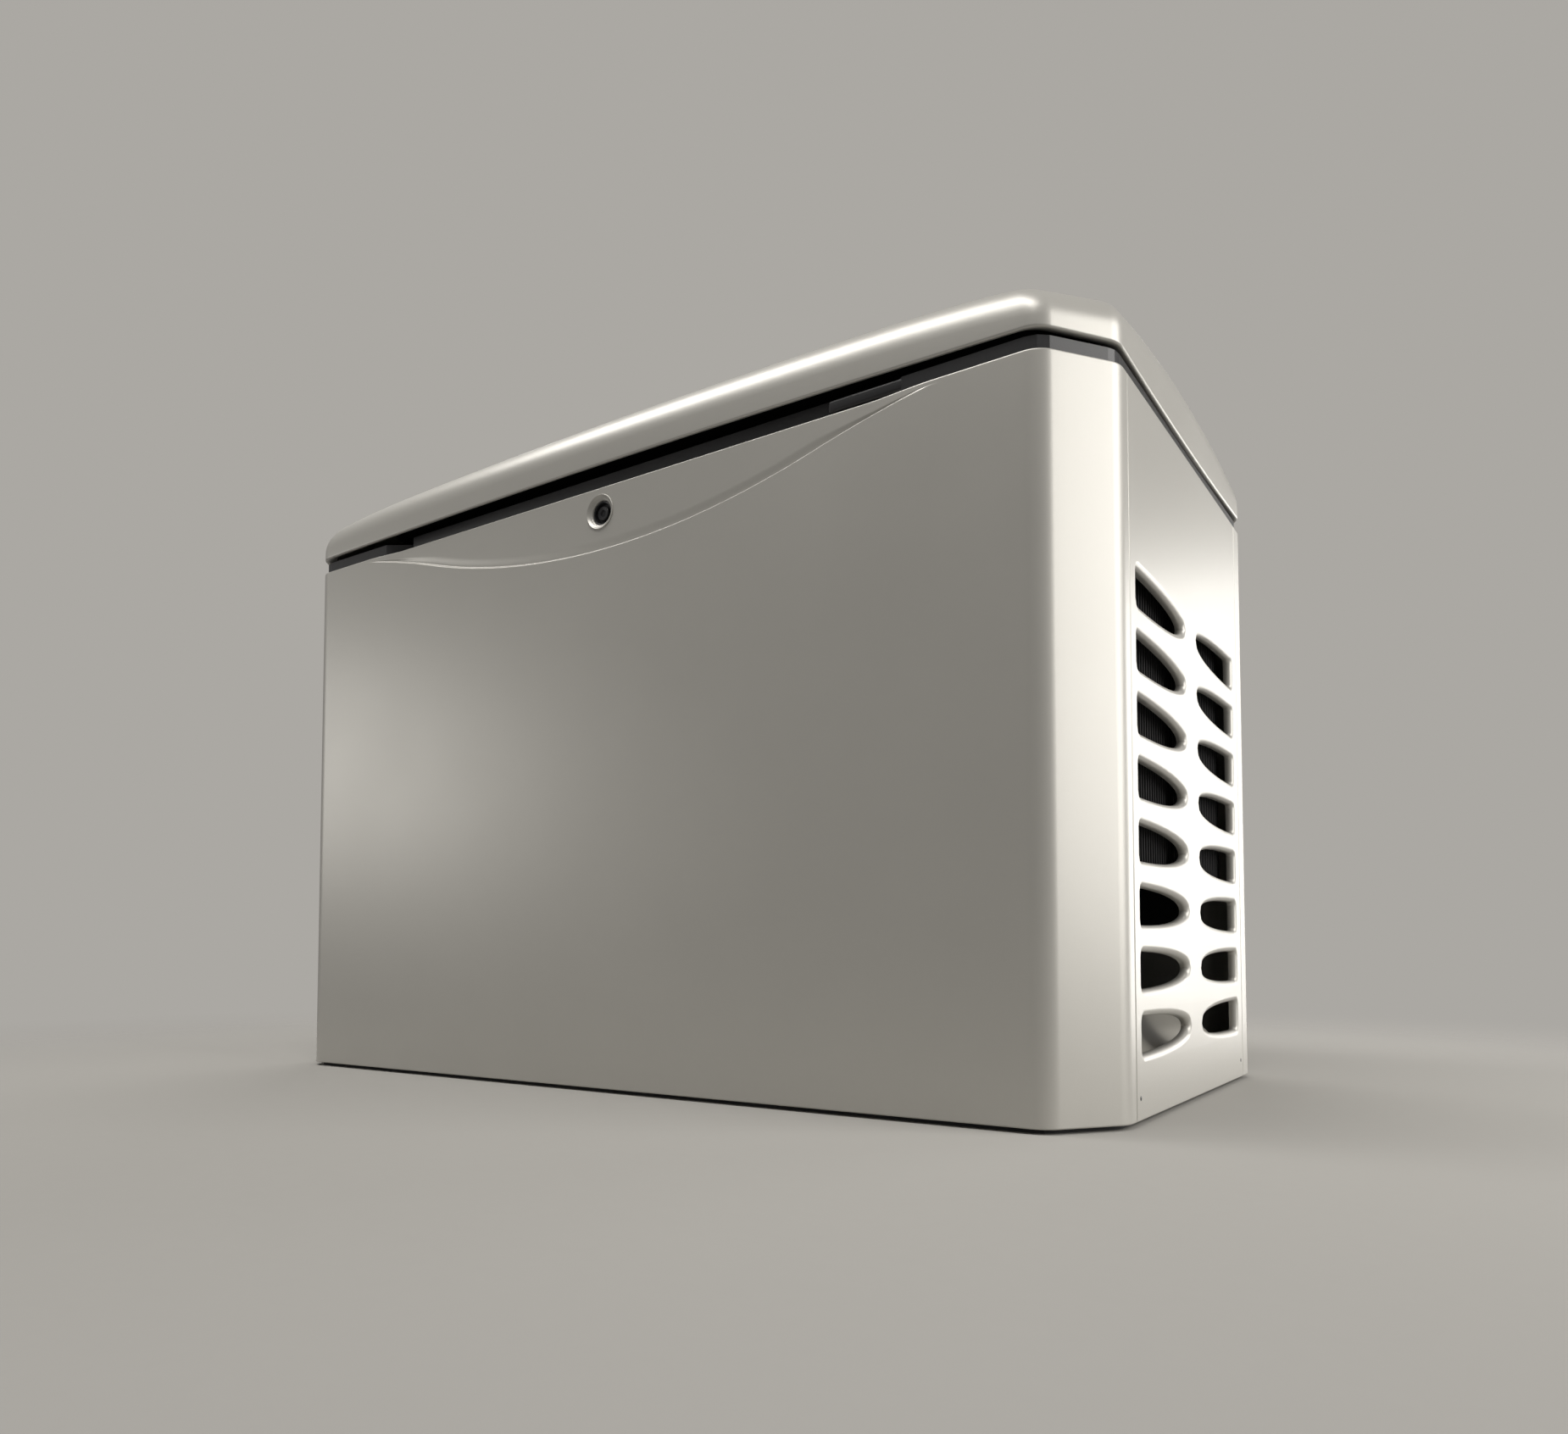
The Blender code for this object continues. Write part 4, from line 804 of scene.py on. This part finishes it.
def alternator_details():
    centre = Vector((0, CRANK_Y, CRANK_Z))
    bands = [ring_band(0.1282, 0.1300, x, x + 0.004, centre, "X", 48) for x in (-0.296, -0.058)]
    fins = []
    for index in range(28):
        turn = 2 * math.pi * index / 28
        if math.cos(turn) < -0.6:
            continue
        fin = block((-0.288, -0.0015, 0.1275), (-0.066, 0.0015, 0.1325), 0.0007, 1)
        fin.transform(Matrix.Translation(centre) @ Matrix.Rotation(turn, 4, "X"))
        fins.append(fin)
    piece("stator_ribs", merged(bands + fins), "grey_enamel", "cabinet")
    spots = []
    for index in range(4):
        turn = math.radians(90 * index)
        y, z = CRANK_Y + 0.104 * math.cos(turn), CRANK_Z + 0.104 * math.sin(turn)
        spots.append(((-0.3398, y, z), "X", -1))
    bolts("end_cover_bolts", "bright_steel", "cabinet", spots, 0.0055)


def controller_details():
    """Frames round the window and the buttons, plain marks beside them, and cover screws."""
    face = -0.292
    y = face - 0.0002
    frame_parts = []
    for low_x, high_x, low_z, high_z in (
        (0.258, 0.342, 0.640, 0.645), (0.258, 0.342, 0.585, 0.590),
        (0.258, 0.2615, 0.585, 0.645), (0.3385, 0.342, 0.585, 0.645),
    ):
        frame_parts.append(block((low_x, y - 0.0016, low_z), (high_x, y + 0.001, high_z), 0.0005, 1))
    frame_parts += [ring_band(0.0088, 0.0112, -0.0013, 0.0008, Vector((x, face, 0.555)), "Y", 28)
                    for x in (0.270, 0.300, 0.330)]
    piece("controller_trim", merged(frame_parts), "grey_enamel", "cabinet")
    glass = block((0.2640, face - 0.0024, 0.5925), (0.3360, face - 0.0018, 0.6375), 0.0002, 1)
    piece("display_glass", glass, "black_plastic", "cabinet")
    lines = []
    for row, width in enumerate((0.052, 0.040, 0.048)):
        z = 0.629 - 0.013 * row
        low, high = (0.268, face - 0.0027, z - 0.0018), (0.268 + width, face - 0.0022, z + 0.0018)
        lines.append(block(low, high, 0.0001, 1))
    piece("display_bars", merged(lines), "display_mark", "cabinet")
    lamps = [turned([(0, 0.0009), (0.0016, 0.0005), (0.0020, 0), (0.0020, -0.0005), (0, -0.0005)],
                    Vector((x, face - 0.0008, 0.573)), "Y", 16) for x in (0.270, 0.300, 0.330)]
    piece("status_lamps", merged(lamps), "lamp_lens", "cabinet")
    spots = [((x, face, z), "Y", -1) for x in (0.250, 0.441) for z in (0.510, 0.670)]
    bolts("controller_screws", "bright_steel", "cabinet", spots, 0.0030)


def muffler_details():
    """A folded seam round the silencer and two straps that hold it."""
    seams = []
    low, high = (-0.562, -0.20, 0.235), (-0.470, 0.24, 0.425)
    for y in (-0.150, 0.020, 0.190):
        middle = Vector(((low[0] + high[0]) / 2, y, (low[2] + high[2]) / 2))
        rows = []
        for dy, grow in ((-0.007, 0.0), (-0.006, 0.0022), (0.006, 0.0022), (0.007, 0.0)):
            row = []
            for corner in range(4):
                for step in range(7):
                    turn = math.pi / 2 * (corner + step / 6)
                    sx = 1 if corner in (0, 3) else -1
                    sz = 1 if corner in (0, 1) else -1
                    cx = sx * ((high[0] - low[0]) / 2 - 0.036)
                    cz = sz * ((high[2] - low[2]) / 2 - 0.036)
                    radius = 0.0362 + grow
                    across, up = cx + radius * math.cos(turn), cz + radius * math.sin(turn)
                    row.append(middle + Vector((across, dy, up)))
            rows.append(row)
        seams.append(grid(rows, close_columns=True))
    piece("muffler_straps", merged(seams), "bright_steel", "cabinet")


def engine_details():
    clips = []
    for x in (0.030, 0.150):
        for y, side in ((-0.0795, -1), (0.1395, 1)):
            near, far = sorted((y, y + side * 0.0022))
            clips.append(block((x - 0.008, near, 0.560), (x + 0.008, far, 0.604), 0.0007, 1))
            near, far = sorted((y, y + side * 0.0050))
            clips.append(block((x - 0.006, near, 0.598), (x + 0.006, far, 0.603), 0.0009, 1))
    piece("air_cleaner_clips", merged(clips), "bright_steel", "cabinet")
    ribs = []
    for index in range(9):
        x = 0.018 + 0.018 * index
        ribs.append(block((x - 0.0025, -0.058, 0.6235), (x + 0.0025, 0.118, 0.6270), 0.0009, 1))
    piece("air_cleaner_ribs", merged(ribs), "black_plastic", "cabinet")
    flutes = []
    for index in range(14):
        turn = 2 * math.pi * index / 14
        flute = block((-0.0022, 0.0374, -0.0640), (0.0022, 0.0392, -0.0430), 0.0006, 1)
        flute.transform(Matrix.Rotation(turn, 4, "Z"))
        forward = Matrix.Rotation(math.radians(-90), 4, "X")
        flute.transform(Matrix.Translation((0.07, -0.118, 0.185)) @ forward)
        flutes.append(flute)
    piece("oil_filter_flutes", merged(flutes), "white_filter", "cabinet")
    grips = []
    for index in range(8):
        turn = 2 * math.pi * (index + 0.5) / 8
        grip = block((0.0160, -0.0030, 0.004), (0.0192, 0.0030, 0.0145), 0.0010, 1)
        place = Matrix.Translation((0.17, CRANK_Y - 0.05, CRANK_Z + 0.085))
        grip.transform(place @ Matrix.Rotation(turn, 4, "Z"))
        grips.append(grip)
    piece("oil_cap_grips", merged(grips), "black_plastic", "oil_cap")


def battery_details():
    """A hold-down strap over the battery, vent caps on it and clamps on its posts."""
    strap = [
        block((-0.312, -0.2925, 0.2152), (-0.288, -0.1375, 0.2180), 0.0008, 1),
        block((-0.312, -0.2928, 0.055), (-0.288, -0.2904, 0.2176), 0.0008, 1),
        block((-0.312, -0.1396, 0.055), (-0.288, -0.1372, 0.2176), 0.0008, 1),
    ]
    piece("battery_strap", merged(strap), "black_steel", "cabinet")
    cap = [(0, 0.004), (0.006, 0.004), (0.0085, 0.0025), (0.009, 0), (0, 0)]
    caps = [turned(cap, Vector((x, -0.235, 0.2150)), "Z", 20)
            for x in (-0.378, -0.352, -0.328, -0.272, -0.248, -0.222)]
    piece("battery_caps", merged(caps), "grey_enamel", "cabinet")
    clamps = []
    for x in (-0.37, -0.23):
        clamps.append(ring_band(0.0092, 0.0132, 0.2175, 0.2285, Vector((x, -0.17, 0)), "Z", 24))
        clamps.append(block((x - 0.0045, -0.166 + 0.0085, 0.2185), (x + 0.0045, -0.144, 0.2275), 0.0010, 1))
    piece("battery_clamps", merged(clamps), "bright_steel", "cabinet")


def service_details():
    """The fuel regulator's cover screws, hose clips and the locknut on the conduit hub."""
    spots = []
    for index in range(6):
        turn = math.pi * index / 3
        spots.append(((-0.14 + 0.032 * math.cos(turn), 0.182, 0.14 + 0.032 * math.sin(turn)), "Y", -1))
    bolts("regulator_screws", "bright_steel", "cabinet", spots, 0.0030)
    clips = [ring_band(0.0081, 0.0098, 0.0, 0.006, Vector((-0.14, 0.225, 0.2025)), "Z", 24)]
    clips.append(ring_band(0.0081, 0.0098, 0.0775, 0.0835, Vector((0.0875, 0, 0.515)), "Y", 24))
    piece("hose_clips", merged(clips), "bright_steel", "cabinet")


# ---- Light, floor and camera ----------------------------------------------------------------


def lamp(name, place, aim, size, power, colour=(1.0, 0.98, 0.95)):
    data = bpy.data.lights.new(name, "AREA")
    data.shape = "RECTANGLE"
    data.size, data.size_y = size
    data.energy = power
    data.color = colour
    obj = bpy.data.objects.new(name, data)
    obj.location = place
    obj.rotation_euler = (Vector(aim) - Vector(place)).to_track_quat("-Z", "Y").to_euler()
    obj.visible_camera = False
    bpy.context.scene.collection.objects.link(obj)


def backdrop_material():
    """Pale paper whose edge fades away, so that the floor melts into the even background."""
    made = shade("backdrop_paper", (0.39, 0.38, 0.360), 0.95, 0.0, 60, 0.02, 0.01)
    tree = made.node_tree
    shader = tree.nodes["Principled BSDF"]
    shader.inputs["Specular IOR Level"].default_value = 0.0
    where = tree.nodes.new("ShaderNodeTexCoord")
    length = tree.nodes.new("ShaderNodeVectorMath")
    length.operation = "LENGTH"
    tree.links.new(where.outputs["Object"], length.inputs[0])
    fade = tree.nodes.new("ShaderNodeMapRange")
    fade.interpolation_type = "SMOOTHSTEP"
    fade.inputs["From Min"].default_value = 0.75
    fade.inputs["From Max"].default_value = 2.1
    fade.inputs["To Min"].default_value = 1.0
    fade.inputs["To Max"].default_value = 0.0
    tree.links.new(length.outputs["Value"], fade.inputs["Value"])
    tree.links.new(fade.outputs["Result"], shader.inputs["Alpha"])
    return made


def studio():
    rows = []
    for step in range(1, 13):
        radius = 3.0 * step / 12
        turns = [2 * math.pi * index / 64 for index in range(64)]
        rows.append([Vector((radius * math.cos(t), radius * math.sin(t), 0.0)) for t in turns])
    floor = grid(rows, close_columns=True)
    floor.verts.ensure_lookup_table()
    floor.faces.new([floor.verts[index] for index in range(64)])
    bmesh.ops.recalc_face_normals(floor, faces=floor.faces)
    mesh = bpy.data.meshes.new("floor")
    floor.to_mesh(mesh)
    floor.free()
    mesh.materials.append(backdrop_material())
    obj = bpy.data.objects.new("floor", mesh)
    bpy.context.scene.collection.objects.link(obj)
    world = bpy.data.worlds.new("studio")
    bpy.context.scene.world = world
    world.use_nodes = True
    tree = world.node_tree
    seen = tree.nodes["Background"]
    seen.inputs["Color"].default_value = (0.407, 0.392, 0.366, 1)
    lighting = tree.nodes.new("ShaderNodeBackground")
    lighting.inputs["Color"].default_value = (0.407, 0.398, 0.385, 1)
    lighting.inputs["Strength"].default_value = 0.48
    path = tree.nodes.new("ShaderNodeLightPath")
    mix = tree.nodes.new("ShaderNodeMixShader")
    tree.links.new(path.outputs["Is Camera Ray"], mix.inputs["Fac"])
    tree.links.new(lighting.outputs["Background"], mix.inputs[1])
    tree.links.new(seen.outputs["Background"], mix.inputs[2])
    tree.links.new(mix.outputs["Shader"], tree.nodes["World Output"].inputs["Surface"])
    lamp("key", (3.3, 0.35, 1.45), (0.5, 0.0, 0.42), (2.0, 2.8), 86)
    lamp("side", (1.9, 2.9, 0.7), (0.6, 0.0, 0.35), (1.4, 1.8), 30)
    lamp("top", (-0.35, -0.95, 2.9), (-0.1, -0.1, 0.8), (3.4, 0.9), 66)
    lamp("crest", (-1.3, 2.3, 2.2), (0, 0, 0.8), (2.8, 0.9), 45)
    lamp("fill", (-3.3, -2.2, 0.95), (-0.45, -0.33, 0.40), (1.2, 0.9), 9)


def camera():
    data = bpy.data.cameras.new("camera")
    data.sensor_width = 36
    data.lens = 25.28
    data.shift_y = 0.1183
    data.dof.use_dof = False
    obj = bpy.data.objects.new("camera", data)
    obj.location = (0.9139, -1.2880, 0.1659)
    obj.rotation_euler = (math.radians(92.508), 0, math.radians(33.937))
    bpy.context.scene.collection.objects.link(obj)
    bpy.context.scene.camera = obj


finish_nodes()
front_skin()
rear_skin()
side_skin("right_side_skin", 1, "right_side_panel")
side_skin("left_side_skin", -1, "left_side_panel")
lid_skin()
strut_brackets()
roof_liner()
wall_liners()
rim_seal()
vent_screens()
base_ducts()
lock_details()
grip_stop()
hinge_screws()
panel_screws()
head_bolts()
fan_guard()
alternator_details()
controller_details()
muffler_details()
engine_details()
battery_details()
service_details()
studio()
camera()
bpy.context.scene.view_settings.view_transform = "Standard"
